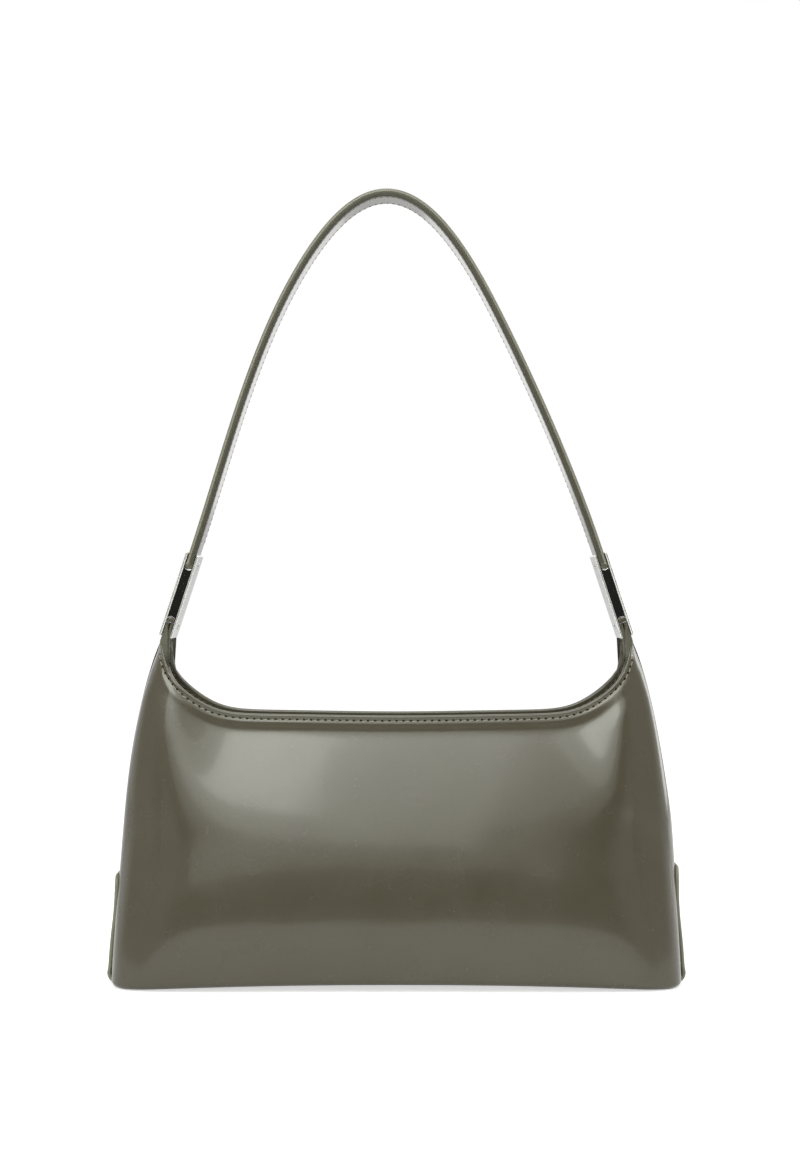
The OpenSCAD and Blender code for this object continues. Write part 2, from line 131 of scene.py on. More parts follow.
def make(name, part, materials, slot, body, *replaces):
    """An object from a part's points, faces and material numbers. It rides on a body, or with 'blend' stays where it
    is, with no parent.
    """
    points, faces, indices = part
    mesh = bpy.data.meshes.new(name)
    mesh.from_pydata((points * 0.001).tolist(), [], faces)
    for m in materials:
        mesh.materials.append(m)
    mesh.polygons.foreach_set("material_index", np.asarray(indices, np.int32))
    mesh.polygons.foreach_set("use_smooth", np.ones(len(mesh.polygons), bool))
    mesh.update()
    obj = place(name, mesh)
    if body == "blend":
        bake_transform(obj)
    else:
        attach(obj, body)
    if replaces:
        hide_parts(*replaces)


def pair(name, build, materials, slot, body, *replaces):
    """A piece built for the right end, and its mirror image for the left one. {} in a node's name is the side."""
    for word, turn in (("right", 1.0), ("left", -1.0)):
        points, faces, indices = build(turn)
        if turn < 0:
            faces = [g[::-1] for g in faces]
        part = points * [turn, 1, 1], faces, indices
        make(word + "_" + name, part, materials, slot, body, *[r.format(word) for r in replaces])


def cells(mask):
    """Which cells of a grid have all four corners."""
    return mask[:-1, :-1] & mask[:-1, 1:] & mask[1:, 1:] & mask[1:, :-1]


def grid_quads(idx, mask=None):
    quads = np.stack([idx[:-1, :-1], idx[:-1, 1:], idx[1:, 1:], idx[1:, :-1]], -1).reshape(-1, 4)
    return quads if mask is None else quads[cells(mask).reshape(-1)]


def tube_faces(rows, points, flip=False, end=1):
    """Faces over rows of points that each make a closed ring, and over both ends."""
    idx = np.arange(rows * points).reshape(rows, points)
    quads = grid_quads(np.hstack([idx, idx[:, :1]]))
    return (quads[:, ::-1] if flip else quads).tolist() + [idx[0][::end].tolist(), idx[-1][::-end].tolist()]


def tube(P, **how):
    faces = tube_faces(*P.shape[:2], **how)
    return P.reshape(-1, 3), faces, [0] * len(faces)


def layer_mesh(P, N, D, depth, thick, mask=None, wrap=False, flip=False, edge_at=0.6):
    """A closed sheet of leather or cloth below the surface P. D is the distance to a finished, rounded edge."""
    I, J = D.shape
    mask = np.ones((I, J), bool) if mask is None else mask
    r = thick / 2
    k = r - np.sqrt(np.maximum(r * r - (r - np.clip(D, 0, r)) ** 2, 0))
    outer = P - N * (depth + k)[..., None]
    inner = P - N * (depth + thick - k)[..., None]
    o = np.arange(I * J).reshape(I, J)
    i = np.where(D <= 1e-9, o, o + I * J)
    if wrap:
        o, i = np.vstack([o, o[:1]]), np.vstack([i, i[:1]])
        D, mask = np.vstack([D, D[:1]]), np.vstack([mask, mask[:1]])
    faces = [grid_quads(o, mask), grid_quads(i, mask)[:, ::-1]]
    pad = np.pad(cells(mask), 1)
    sides = ((pad[:-2, 1:-1], 0, 0, 0, 1), (pad[2:, 1:-1], 1, 1, 1, 0),
             (pad[1:-1, :-2], 1, 0, 0, 0), (pad[1:-1, 2:], 0, 1, 1, 1))
    for beyond, pi, pj, qi, qj in sides[2:] if wrap else sides:
        ci, cj = np.nonzero(pad[1:-1, 1:-1] & ~beyond)
        p, q = (ci + pi, cj + pj), (ci + qi, cj + qj)
        faces.append(np.stack([o[p], o[q], i[q], i[p]], -1)[(o[p] != i[p]) | (o[q] != i[q])])
    faces = np.vstack([f for f in faces if len(f)])
    near = np.tile(D[:I].reshape(-1), 2)[faces].min(axis=1) < edge_at
    if flip:
        faces = faces[:, ::-1]
    points = np.vstack([outer.reshape(-1, 3), inner.reshape(-1, 3)])
    return compact(points, faces, near.astype(int))


def compact(points, faces, indices):
    """Drops points that no face uses, and repeated corners of a face."""
    used = np.unique(faces)
    new = np.full(len(points), -1)
    new[used] = np.arange(len(used))
    faces = new[faces]
    clean = [[v for v, last in zip(f, f[-1:] + f[:-1]) if v != last] for f in faces.tolist()]
    keep = [k for k, g in enumerate(clean) if len(g) > 2]
    return points[used], [clean[k] for k in keep], np.asarray(indices)[keep]


def join(parts):
    points, faces, indices, base = [], [], [], 0
    for p, f, m in parts:
        points.append(p)
        faces += [[v + base for v in g] for g in f]
        indices += list(m)
        base += len(p)
    return np.vstack(points), faces, indices


# ---- materials

def srgb(r, g, b):
    return tuple(((c / 255 + 0.055) / 1.055) ** 2.4 if c > 10 else c / 255 / 12.92 for c in (r, g, b)) + (1.0,)


class Tree:
    """The nodes of a material or of the world, with short calls for what repeats."""

    def __init__(self, owner):
        owner.use_nodes = True
        self.nodes, self.links = owner.node_tree.nodes, owner.node_tree.links

    def feed(self, socket, value):
        if isinstance(value, bpy.types.NodeSocket):
            self.links.new(value, socket)
        else:
            socket.default_value = value

    def add(self, kind, inputs, out=0, **settings):
        n = self.nodes.new("ShaderNode" + kind)
        for key, value in settings.items():
            setattr(n, key, value)
        for key, value in inputs.items():
            self.feed(n.inputs[key], value)
        return n.outputs[out]

    def put(self, inputs):
        for key, value in inputs.items():
            self.feed(self.nodes["Principled BSDF"].inputs[key], value)

    def coords(self, scale=(1, 1, 1), turn=(0, 0, 0)):
        at = self.add("TexCoord", {}, "Object")
        return self.add("Mapping", {"Vector": at, "Scale": scale, "Rotation": turn}, "Vector")

    def noise(self, at, scale, detail=3.0, rough=0.5, distort=0.0):
        return self.add("TexNoise", {"Vector": at, "Scale": scale, "Detail": detail, "Roughness": rough,
                                     "Distortion": distort}, "Fac")

    def spread(self, value, low, high, out_low=0.0, out_high=1.0):
        return self.add("MapRange", {"Value": value, "From Min": low, "From Max": high, "To Min": out_low,
                                     "To Max": out_high}, "Result")

    def mix(self, share, a, b):
        return self.add("Mix", {0: share, 6: a, 7: b}, 2, data_type="RGBA")

    def bump(self, height, distance, strength, after=None):
        inputs = {"Height": height, "Distance": distance, "Strength": strength}
        if after is not None:
            inputs["Normal"] = after
        normal = self.add("Bump", inputs, "Normal")
        self.put({"Normal": normal})
        return normal


def material(name):
    m = bpy.data.materials.new(name)
    return m, Tree(m)


def leather(name, low, high, rough, coat, coat_rough, grain=1.0):
    """Smooth calf with slow changes of tone, fine specks, worn and polished spots, pores and fine creases."""
    m, t = material(name)
    at = t.coords()
    tone = t.mix(t.spread(t.noise(at, 26, 4, 0.55), 0.15, 0.85), srgb(*low), srgb(*high))
    specks = t.spread(t.noise(at, 900, 2), 0.35, 0.7, 0.0, 0.1)
    worn = t.spread(t.noise(at, 75, 3, 0.6), 0.1, 0.9, rough - 0.05, rough + 0.06)
    t.put({"Base Color": t.mix(specks, tone, srgb(*[c * 0.72 for c in low])), "Roughness": worn,
           "Specular IOR Level": 0.5, "Coat Weight": coat, "Coat Roughness": coat_rough})
    pores = t.add("TexVoronoi", {"Vector": at, "Scale": 1150, "Randomness": 0.9}, "Distance", feature="SMOOTH_F1")
    creases = t.noise(at, 330, 4, 0.6, 0.6)
    t.bump(creases, 0.00012 * grain, 0.3, t.bump(pores, 0.00006 * grain, 0.35))
    return m


def plain(name, colour, rough, coat=0.0, scale=300, depth=0.00005, tint=0.85, spec=0.5):
    """One colour with a little unevenness: painted edges (some as lighter or darker copies, painted highlight and
    shade), board, and the painted shade of a needle hole or a screw's slot.
    """
    m, t = material(name)
    blots = t.noise(t.coords(), scale, 3, 0.55)
    t.put({"Base Color": t.mix(t.spread(blots, 0.3, 0.7), srgb(*[c * tint for c in colour]), srgb(*colour)),
           "Roughness": t.spread(blots, 0.3, 0.7, rough * 0.85, rough * 1.15),
           "Specular IOR Level": spec, "Coat Weight": coat, "Coat Roughness": 0.2})
    t.bump(blots, depth, 0.5)
    return m


def painted(name, colour, rough, coat=0.0, tint=0.93, spec=0.5):
    return plain(name, colour, rough, coat, 160, 0.00001, tint, spec)


def twill(name, low, high, size):
    """Cloth with slanted ribs of a size."""
    m, t = material(name)
    at = t.coords(turn=(0, math.radians(45), math.radians(20)))
    ribs = t.add("TexWave", {"Vector": at, "Scale": 0.5 / size, "Distortion": 0.6, "Detail": 1.0}, "Fac")
    fluff = t.noise(at, 1400, 2)
    cloth = t.add("Math", {0: ribs, 1: 0.75, 2: t.spread(fluff, 0, 1, 0, 0.3)}, operation="MULTIPLY_ADD")
    t.put({"Base Color": t.mix(cloth, srgb(*low), srgb(*high)), "Roughness": t.spread(fluff, 0, 1, 0.75, 0.95),
           "Sheen Weight": 0.25, "Sheen Roughness": 0.4})
    t.bump(cloth, 0.0002, 0.5)
    return m


def thread(name, low, high):
    """Waxed thread with its twist."""
    m, t = material(name)
    at = t.coords(turn=(0.4, 0.5, 0.3))
    twist = t.add("TexWave", {"Vector": at, "Scale": 1800, "Distortion": 1.5}, "Fac")
    t.put({"Base Color": t.mix(twist, srgb(*low), srgb(*high)),
           "Roughness": t.spread(t.noise(at, 900, 2), 0, 1, 0.5, 0.75)})
    t.bump(twist, 0.0001, 0.5)
    return m


def polished(name, colour, rough, metal=1.0):
    """Plated metal with faint smudges and fine lines."""
    m, t = material(name)
    smudges = t.noise(t.coords(), 120, 4, 0.6)
    lines = t.noise(t.coords(scale=(1, 1, 30)), 60, 3, 0.7)
    t.put({"Base Color": t.mix(t.spread(smudges, 0.3, 0.7), srgb(*[c * 0.95 for c in colour]), srgb(*colour)),
           "Roughness": t.spread(smudges, 0.3, 0.75, rough * 0.7, rough * 1.6), "Metallic": metal})
    t.bump(lines, 0.000003, 0.2)
    return m


CALF = leather("calf_leather_skin", (76, 70, 55), (82, 77, 62), 0.25, 0.7, 0.1)
FACE = leather("facing_leather_skin", (80, 76, 62), (88, 84, 70), 0.32, 0.5, 0.16)
STRAP_SKIN = leather("strap_leather_skin", (80, 76, 62), (88, 84, 70), 0.22, 1.0, 0.08, 0.5)
# A lighter copy of the calf on the patches: painted light for the brighter lower corners.
PATCH_LIT_SKIN = leather("patch_leather_skin", (88, 86, 71), (97, 95, 79), 0.3, 0.6, 0.14)
EDGE = painted("painted_edge", (92, 90, 75), 0.34, coat=0.5)
# A lighter and a darker copy of the edge paint: painted highlight on the patches' edges and the strap's top edge,
# painted shade on the strap's filling and lining.
HIGHLIT_EDGE = painted("edge_paint_painted_highlight", (134, 133, 116), 0.5, coat=0.1, tint=0.95)
DARK_EDGE = painted("dark_painted_edge", (48, 45, 35), 0.6, spec=0.15)
SHADED_EDGE = painted("edge_paint_painted_shade", (70, 68, 54), 0.5, coat=0.1, tint=0.95)
THREAD = thread("waxed_thread", (134, 131, 114), (182, 179, 160))
# A darker copy of the waxed thread: painted shade on the stitches inside the rim.
SHADE_THREAD = thread("inner_thread_painted_shade", (92, 89, 74), (124, 120, 103))
# Near black for needle holes and screw slots: painted shade in these small recesses.
HOLE_SHADE = plain("needle_hole_painted_shade", (18, 16, 11), 0.95, scale=900, depth=0.00002)
LINING = twill("lining_twill", (66, 62, 54), (92, 88, 78), 0.00055)
TAPE = twill("stay_weave", (70, 66, 56), (96, 92, 80), 0.0006)
BOARD = plain("fibre_board", (118, 108, 92), 0.85, scale=420, depth=0.0001, tint=0.8)
METAL = polished("polished_nickel", (244, 243, 240), 0.13, 0.8)
# A darker copy of the nickel for the links' recessed core: painted shade.
SHADED_CORE_METAL = polished("link_core_nickel", (190, 189, 186), 0.05)
SATIN = polished("satin_nickel", (206, 204, 198), 0.24)


# ---- the bag's surface

def half_w(z):
    s = z / FOLD_Z
    body = BODY_W / 2 - (BODY_W - NECK_W) / 2 * (0.4 * s + 0.6 * s ** 4)
    return np.where(z > FOLD_Z, NECK_W / 2 - (z - FOLD_Z) * math.tan(LEAN), body)


def end_half_d(z):
    t = np.maximum(1 - z / FOLD_Z, 0.0)
    return NECK_D / 2 + (BODY_D - NECK_D) / 2 * np.maximum(t, 1e-9) ** 0.62 * t / (t + 0.008)


def mid_half_d(z, rim):
    s2 = (z / (rim - LIP_H)) ** 2
    h = np.maximum(0.05 - np.abs(s2 - 1), 0) / 0.05
    tuck = 1.7 * np.maximum(0, 1 - z / 46) ** 1.6
    return MOUTH_D / 2 + (BODY_D - MOUTH_D) / 2 * (1 - np.minimum(s2, 1) + h * h * 0.0125) - tuck


def corner_drop(z):
    """How far the corner of the plan lies inside the side seam. Near the fold line the ears are nearly flat."""
    n = 3 + 4.2 * (np.maximum(z, 0) / FOLD_Z) ** 1.6 + 3.0 * (1 - smooth((z - 12) / 62))
    body = half_w(z) * (1 - 2 ** (-1 / n))
    ear = 12 * (np.maximum(164.5 - z, 0) / 16.5) ** 1.1
    return np.maximum((body + ear) / 2 - np.sqrt((body - ear) ** 2 + 1.4) / 2, 0.02)


def rim_at(q):
    """Height of the rim at a share of the way to the corner: level, a steady climb and a steep last bit."""
    climb = 3.1 * np.log1p(np.exp(((q - 0.5) / 0.5 - 0.4) / 0.1))
    return 128.8 + (1 - np.exp(-(q / 0.4) ** 2)) + climb + 1.2 * (np.maximum(q - 0.96, 0) / 0.04) ** 2


def half_depth(z, q):
    mid = mid_half_d(z, rim_at(np.minimum(q, 0.95)))
    return mid + (end_half_d(z) - mid) * (1 - np.cos(np.pi * q ** 5)) / 2


def plan(a, z, inset=0.0):
    """The outline at a height: a rounded rectangle, whose ends turn into shallow arcs at the ears."""
    c, s = np.abs(np.cos(a)), np.abs(np.sin(a))
    drop = corner_drop(z) / half_w(z)
    n = math.log(2) / -np.log(1 - drop)
    m = np.maximum(c, s)
    low = np.minimum(c, s) / m
    k = (1 + low ** n) ** (-1 / n) / m
    power = 4.5 - 2.2 * smooth((z - 148) / 14)
    ear = (1 - drop * low ** power) / m
    k = np.where(s < c, k + (ear - k) * smooth((z - 136) / 14), k)
    q = np.where(s < c, 1.0, low)
    x = (half_w(z) - inset) * np.cos(a) * k
    x = x + bulge(z) * smooth((np.cos(a) * k - 0.7) / 0.3)
    y = -WELT_T / 2 - (half_depth(z, q) - inset - WELT_T / 2) * np.sin(a) * k
    return np.stack(np.broadcast_arrays(x, y, z), -1)


def bulge(z):
    """The right end stands out a little more than the left one, as in the photograph."""
    return 1.15 * np.exp(-((z - 76) / np.where(z > 76, 22, 32)) ** 2)


def share(a):
    c, s = np.abs(np.cos(a)), np.abs(np.sin(a))
    return np.where(s < c, 1.0, c / np.maximum(s, 1e-9))


def rim_z(a):
    """Height of the finished edge at an angle."""
    return rim_at(share(a))


EAR_Z = float(rim_z(np.array(math.pi / 4)))


def rim_cos(a):
    """Cosine of the rim's slope."""
    b = np.clip(a, math.pi / 4 + 0.004, math.pi * 3 / 4 - 0.004)
    p, q = plan(b - 0.002, rim_z(b - 0.002)), plan(b + 0.002, rim_z(b + 0.002))
    d = q - p
    w = np.hypot(d[..., 0], d[..., 1])
    return w / np.hypot(w, d[..., 2])


def rim_curve():
    """The finished edge of the right half of the front: down the ear's edge and along the rim."""
    up = np.arange(EAR_TOP + 3, EAR_Z, -0.5)
    a = np.pi / 2 - np.arctan(np.linspace(1, -0.12, 420))
    corner = np.full_like(up, np.pi / 4)
    return plan(np.concatenate([corner, a]), np.concatenate([up, rim_z(a)]))


RIM = rim_curve()


def rim_distance(P):
    """Distance of points of the right half from that edge."""
    flat = P.reshape(-1, 3)
    flat = flat * np.where(flat[:, :1] < 0, [-1.0, 1, 1], [1.0, 1, 1])
    A, B = RIM[:-1], RIM[1:] - RIM[:-1]
    L = np.maximum((B ** 2).sum(1), 1e-12)
    out = np.empty(len(flat))
    for k in range(0, len(flat), 1500):
        V = flat[k:k + 1500, None] - A[None]
        t = np.clip((V * B).sum(-1) / L, 0, 1)
        out[k:k + 1500] = np.sqrt(((V - t[..., None] * B) ** 2).sum(-1).min(1))
    return out.reshape(P.shape[:-1])


def skin(a, z):
    """The outer surface of the front at an angle from the right seam and a height, with its normal."""
    P = plan(a, z)
    along = plan(a + 0.0015, z) - plan(a - 0.0015, z)
    up = plan(a, z + 0.05) - plan(a, z - 0.05)
    return P, unit(np.cross(up, along))


def settle(P):
    """The soft base arches a little in the middle and hangs lower at its four corners, beside the patches."""
    x, y, z = P[..., 0], P[..., 1], P[..., 2]
    give = np.maximum(0.65 - 3.2 * (np.abs(x) / 128) ** 2.4, -2.6)
    give = np.where(give < 0, give * smooth((np.abs(y) - 15) / 9), give)
    Q = P.copy()
    Q[..., 2] = z + give * (1 - smooth((z - 3) / 42))
    return Q


def waves(P, seed):
    """A soft, irregular unevenness made of a few long waves in odd directions."""
    rng = np.random.default_rng(int(seed * 10))
    total = 0
    for length in (95, 80, 66, 55, 46, 39, 33, 28, 24, 20, 17):
        turn, phase = rng.uniform(0, np.pi), rng.uniform(0, 2 * np.pi, 2)
        u = (P[..., 0] * math.cos(turn) + P[..., 2] * math.sin(turn)) * 2 * math.pi / length
        v = (P[..., 0] * math.sin(turn) - P[..., 2] * math.cos(turn)) * 2 * math.pi / (length * 1.6)
        total = total + (length / 1000) ** 1.35 * np.sin(u + phase[0]) * np.cos(v + phase[1])
    return total * 0.8


def relief(D, P, seed):
    """Dip of the stitch row and the soft unevenness of the leather."""
    groove = -0.26 * np.exp(-((D - STITCH_D) / 0.75) ** 2)
    roll = 0.12 * np.exp(-((D - 5.2) / 1.6) ** 2)
    calm = smooth((D - 6) / 22) * smooth((P[..., 2] - 12) / 30)
    x, z = P[..., 0], P[..., 2]
    fold = 0.8 * np.exp(-((x - 108.5) / 9.5) ** 2) * smooth((z - 76) / 16) * smooth((D - 5) / 10) * (seed < 2)
    return groove + roll + waves(P, seed) * calm + fold


# Columns of the grids, closer together at the ears' edges, and drops from the finished edge to the close rows
EAR_E = np.array([10, 9.2, 8.4, 7.6, 6.8, 6, 5.2, 4.5, 3.9, 3.4, 2.9, 2.5, 2.1, 1.7, 1.35, 1.05,
                  0.85, 0.7, 0.52, 0.36, 0.22, 0.1, 0.03, 0.0])
COLUMNS = np.concatenate([np.arctan(1 - EAR_E / 10), np.pi / 2 - np.arctan(1 - np.arange(1, 113) / 112)])
COLUMNS = np.concatenate([COLUMNS, np.pi - COLUMNS[-2::-1]])
COLUMNS[0] += 1e-6
COLUMNS[-1] -= 1e-6
DROPS = np.array([12, 11, 10, 9, 8, 7.2, 6.5, 5.8, 5.2, 4.6, 4.1, 3.6, 3.2, 2.8, 2.5, 2.2, 1.9, 1.6, 1.3,
                  1.05, 0.85, 0.7, 0.52, 0.36, 0.22, 0.1, 0.03, 0.0])
EAR_ROWS = np.linspace(EAR_Z, EAR_TOP, 31)[1:]
LOW_ROWS = 44
EDGE_ROW = LOW_ROWS + len(DROPS) - 1


def column_top(a):
    """Height of the finished edge over a column: the rim's, or the ear's foot at the end columns."""
    return np.where(np.abs(np.tan(a)) < 1, EAR_Z, rim_z(a))


def wall_rows(a, start):
    """Heights of a column: the lower rows, the close rows below the rim, and the rows up the ear."""
    top = column_top(a)
    close = top[:, None] - DROPS[None, :] / rim_cos(a)[:, None]
    ear = np.broadcast_to(EAR_ROWS, (len(a), len(EAR_ROWS)))
    ear = np.where((np.abs(np.tan(a)) < 1)[:, None], ear, top[:, None] + (EAR_ROWS - EAR_Z)[None, :] * 0.1)
    start = np.broadcast_to(start, top.shape)[:, None]
    low = start + (close[:, :1] - start) * np.linspace(0, 1, LOW_ROWS + 1)[None, :-1]
    return np.hstack([low, close, ear])


def wall_distance(P, a):
    """Distance from the finished edge, exactly zero on it."""
    D = rim_distance(P)
    front = np.abs(np.tan(a)) >= 1 - 1e-9
    D[front, EDGE_ROW] = 0
    D[np.isclose(np.abs(np.tan(a)), 1.0), EDGE_ROW:] = 0
    return D


def wall_mask(a, shape, foot_rows=0):
    """Only the end columns go on above the rim, up the ears."""
    mask = np.ones(shape, bool)
    mask[np.abs(np.tan(a)) > 1 + 1e-9, foot_rows + EDGE_ROW + 1:] = False
    return mask


def outer_shell(side, seed):
    """The outer leather of one half, with its turned-in foot, its rim and its two ears."""
    a = COLUMNS
    P, N = skin(a[:, None], wall_rows(a, WALL_Z + 0.6))
    D = wall_distance(P, a)
    P = P + N * relief(D, P, seed)[..., None]
    v = np.concatenate([np.linspace(0, 1, 4)[:-1], np.linspace(1, 2, 9)])
    turn = np.pi / 2 * (v - 1)
    foot_z = np.where(v < 1, BASE_Z, BASE_Z + BASE_R * (1 - np.cos(turn)))
    foot_in = np.where(v < 1, BASE_R + TURN_IN * (1 - v), BASE_R * (1 - np.sin(turn)))
    Q = plan(a[:, None], foot_z, foot_in)
    P = np.concatenate([Q, P], 1)
    M = unit(np.cross(np.gradient(P, axis=1), np.gradient(P, axis=0)))
    N = np.concatenate([M[:, :len(v)], N], 1)
    D = np.concatenate([np.full(Q.shape[:2], 99.0), D], 1)
    return finish_side(P, N, D, 0.0, SHELL_T, wall_mask(a, D.shape, len(v)), side)


def finish_side(P, N, D, depth, thick, mask, side):
    """A layer of the front half, or of the back half as its mirror image."""
    P = settle(P)
    if side > 0:
        P, N = P * BEHIND, N * BEHIND
    return layer_mesh(P, N, D, depth, thick, mask, flip=side > 0)


def inner_facing(side):
    """The second layer inside the rim, with a finished lower edge."""
    a = COLUMNS
    zz = wall_rows(a, column_top(a) - FACING_H)
    P, N = skin(a[:, None], zz)
    D = wall_distance(P, a)
    P = P + N * (0.2 * np.exp(-((D - STITCH_D) / 0.9) ** 2))[..., None]
    D = np.where(np.arange(zz.shape[1])[None, :] < LOW_ROWS, np.minimum(D, zz - zz[:, :1]), D)
    return finish_side(P, N, D, FACING_IN, SHELL_T, wall_mask(a, D.shape), side)


def stay_strip(side):
    """The reinforcement between the two layers, just below the rim."""
    a = COLUMNS
    d = np.array([10.5, 8.5, 6.5, 4.5, 3.0, 2.2])
    zz = column_top(a)[:, None] - d[None, :] / rim_cos(a)[:, None]
    P, N = skin(a[:, None], zz)
    return finish_side(P, N, np.full(zz.shape, 9.0), STAY_IN, STAY_T, None, side)


# ---- stitches

def resample(P, N, pitch):
    """Evenly spaced points along a row, with their normals and directions."""
    s = lengths(P)
    at = np.linspace(0, s[-1], max(2, int(round(s[-1] / pitch))) + 1)

    def pick(where, V):
        return np.stack([np.interp(where, s, V[:, k]) for k in range(3)], -1)
    return pick(at, P), unit(pick(at, N)), unit(pick(at + 0.3, P) - pick(at - 0.3, P))


def stitches(P, N, pitch, length, width, proud, tilt=0.12, hole=0.42, seed=1, shift=0.0):
    """A row of thread stitches along the points P with needle holes between them, drawn as flat dark rings: painted
    shade for the holes.
    The shift moves the holes to one side of the row and the threads to the other."""
    C, M, T = resample(P, N, pitch)
    rng = np.random.default_rng(seed)
    u = np.array([-1, -0.86, -0.5, 0, 0.5, 0.86, 1.0])
    w = np.linspace(0, 2 * np.pi, 9)[:-1, None]
    mid, mm, mt = (C[:-1] + C[1:]) / 2, unit(M[:-1] + M[1:]), unit(T[:-1] + T[1:])
    n = len(mid)
    ang = (tilt + rng.normal(0, 0.03, n))[:, None]
    t2 = mt * np.cos(ang) + np.cross(mm, mt) * np.sin(ang)
    s2 = np.cross(mm, t2)
    size = 1 + rng.normal(0, 0.04, n)
    fat = np.sqrt(np.maximum(1 - np.abs(u) ** 3, 0.05))[:, None, None]
    rise = (proud * (0.45 - 1.35 * np.abs(u) ** 3))[:, None, None]
    mid = mid - s2 * shift * 0.7
    mid, mm, t2, s2, size = (v.reshape(n, 1, 1, -1) for v in (mid, mm, t2, s2, size))
    points = (mid + t2 * ((u * length / 2)[:, None, None] * size) + s2 * (np.cos(w) * width / 2 * fat)
              + mm * (rise + np.sin(w) * proud * 0.75 * fat))
    one = tube_faces(len(u), len(w))
    faces = [[v + k * len(u) * len(w) for v in g] for k in range(n) for g in one]
    parts = [(points.reshape(-1, 3), faces, [0] * len(faces))]
    if hole:
        # The holes are flat dark rings just off the surface, painted shade rather than real holes.
        h = np.linspace(0, 2 * np.pi, 11)[:-1, None]
        cs = np.cross(M, T)
        rings = [(C + cs * shift)[:, None] + T[:, None] * (np.cos(h) * r) + cs[:, None] * (np.sin(h) * r)
                 + M[:, None] * up for r, up in ((hole, -0.02), (hole * 0.8, 0.05), (hole * 0.45, 0.06))]
        one = tube_faces(3, len(h), flip=True, end=-1)
        one.pop(-2)
        faces = [[v + k * 3 * len(h) for v in g] for k in range(len(C)) for g in one]
        parts.append((np.stack(rings, 1).reshape(-1, 3), faces, [1] * len(faces)))
    return join(parts)


def rim_line(distance, top, rise):
    """Points and normals at a distance from the edge, from the right ear's top over the front to the left ear's.
    The rise lifts them off the skin, or sinks them."""
    a, z = [], []
    t = np.linspace(1, 0.02, 240)
    for height in np.arange(top, EAR_Z - 8, -0.4):
        d = rim_distance(plan(np.arctan(t), np.full_like(t, height)))
        if d[0] >= distance:
            break
        a.append(math.atan(float(np.interp(distance, d, t))))
        z.append(height)
    drops = np.linspace(0.3, 2.6, 60) * distance
    for q in np.linspace(1, 0, 260)[1:]:
        b = math.pi / 2 - math.atan(q)
        h = float(rim_z(np.array(b))) - drops
        d = rim_distance(plan(np.full_like(h, b), h))
        if q > 0.9 and d[-1] < distance:
            continue
        a.append(b)
        z.append(float(np.interp(distance, d, h)))
    a, z = np.array(a), np.array(z)
    a, z = np.concatenate([a, np.pi - a[-2::-1]]), np.concatenate([z, z[-2::-1]])
    P, N = skin(a, z)
    return P + N * rise, N


def add_half(side, word, seed):
    """The layers of the front or the back, and the stitches round the rim and up both ears."""
    make(word + "_shell", outer_shell(side, seed), [CALF, EDGE], "calf_leather", "blend", word + "_panel")
    make(word + "_inner_facing", inner_facing(side), [FACE, EDGE], "facing_leather", "blend", word + "_facing")
    make(word + "_stay_strip", stay_strip(side), [TAPE, TAPE], "stay_tape", "bag", word + "_stay")
    turn, pitch, tilt = np.array([1.0, -side, 1.0]), 3.4, 0.16 * side
    P, N = rim_line(STITCH_D, STITCH_TOP, -0.2)
    row = stitches(P * turn, N * turn, pitch, 2.6, 0.5, 0.28, -tilt, hole=0.62, seed=3, shift=0.3 * side)
    make(word + "_rim_stitches", row, [THREAD, HOLE_SHADE], "stitching", "blend")
    P, N = rim_line(STITCH_D, STITCH_TOP, -FACING_IN - SHELL_T)
    row = stitches(P * turn, -N * turn, pitch, 2.9, 0.5, 0.26, tilt, hole=0.26, seed=4)
    make(word + "_facing_stitches", row, [SHADE_THREAD, HOLE_SHADE], "stitching", "blend")


for side, word, seed in ((-1, "front", 1.0), (1, "back", 4.4)):
    add_half(side, word, seed)


# ---- seam welts and patches

def welt(turn):
    """The raised edge in the side seam: hidden under the patch, proud above it, lower again beside the link."""
    low = PATCH_TOP[turn]
    z = np.concatenate([np.linspace(WALL_Z, low, 20)[:-1], np.linspace(low, EAR_TOP, 90)])
    proud = WELT_PROUD * smooth((z - low + 1) / 3) * (1 - 0.5 * smooth((z - 156) / 14)) + 0.05
    r = WELT_T / 2 + 0.12
    slope = (half_w(z + 0.05) - half_w(z - 0.05)) / 0.1
    n = unit(np.stack([np.ones_like(z), 0 * z, -slope], -1))
    base = np.stack([half_w(z) + (bulge(z) if turn > 0 else 0), 0 * z, z], -1)
    rows = [base + n * (-0.5 + (proud + 0.5) * math.cos(t) ** 0.6)[:, None] + np.array([0, math.sin(t) * r, 0])
            for t in np.radians(np.linspace(-90, 90, 13))]
    rows += [base - n * 1.6 + np.array([0, back * r, 0]) for back in (0.75, -0.75)]
    return tube(np.stack(rows, 1), flip=True)


pair("seam_welt", welt, [DARK_EDGE], "edge_paint", "blend", "{}_side_welt")


def seam_rows(top):
    """The patch's path, from under the base round the bend and up the seam: heights, insets, lengths along it."""
    x0, x1 = BODY_W / 2 - PATCH_UNDER, BODY_W / 2 - BASE_R
    rows = [(BASE_Z, BODY_W / 2 - x) for x in np.linspace(x0, x1, 30)[:-1]]
    rows += [(WALL_Z - BASE_R * math.cos(t), BASE_R * (1 - math.sin(t))) for t in np.linspace(0, math.pi / 2, 12)]
    rows += [(z, 0.0) for z in np.linspace(WALL_Z, top, 60)[1:]]
    rows = np.array(rows)
    line = np.stack([half_w(rows[:, 0]) - rows[:, 1], rows[:, 0]], -1)
    t = unit(np.gradient(line, axis=0))
    outer = line + np.stack([t[:, 1], -t[:, 0]], -1) * (PATCH_T + SEAT_GAP)
    return rows[:, 0], rows[:, 1], lengths(outer)


SEAMS = {turn: seam_rows(top) for turn, top in PATCH_TOP.items()}


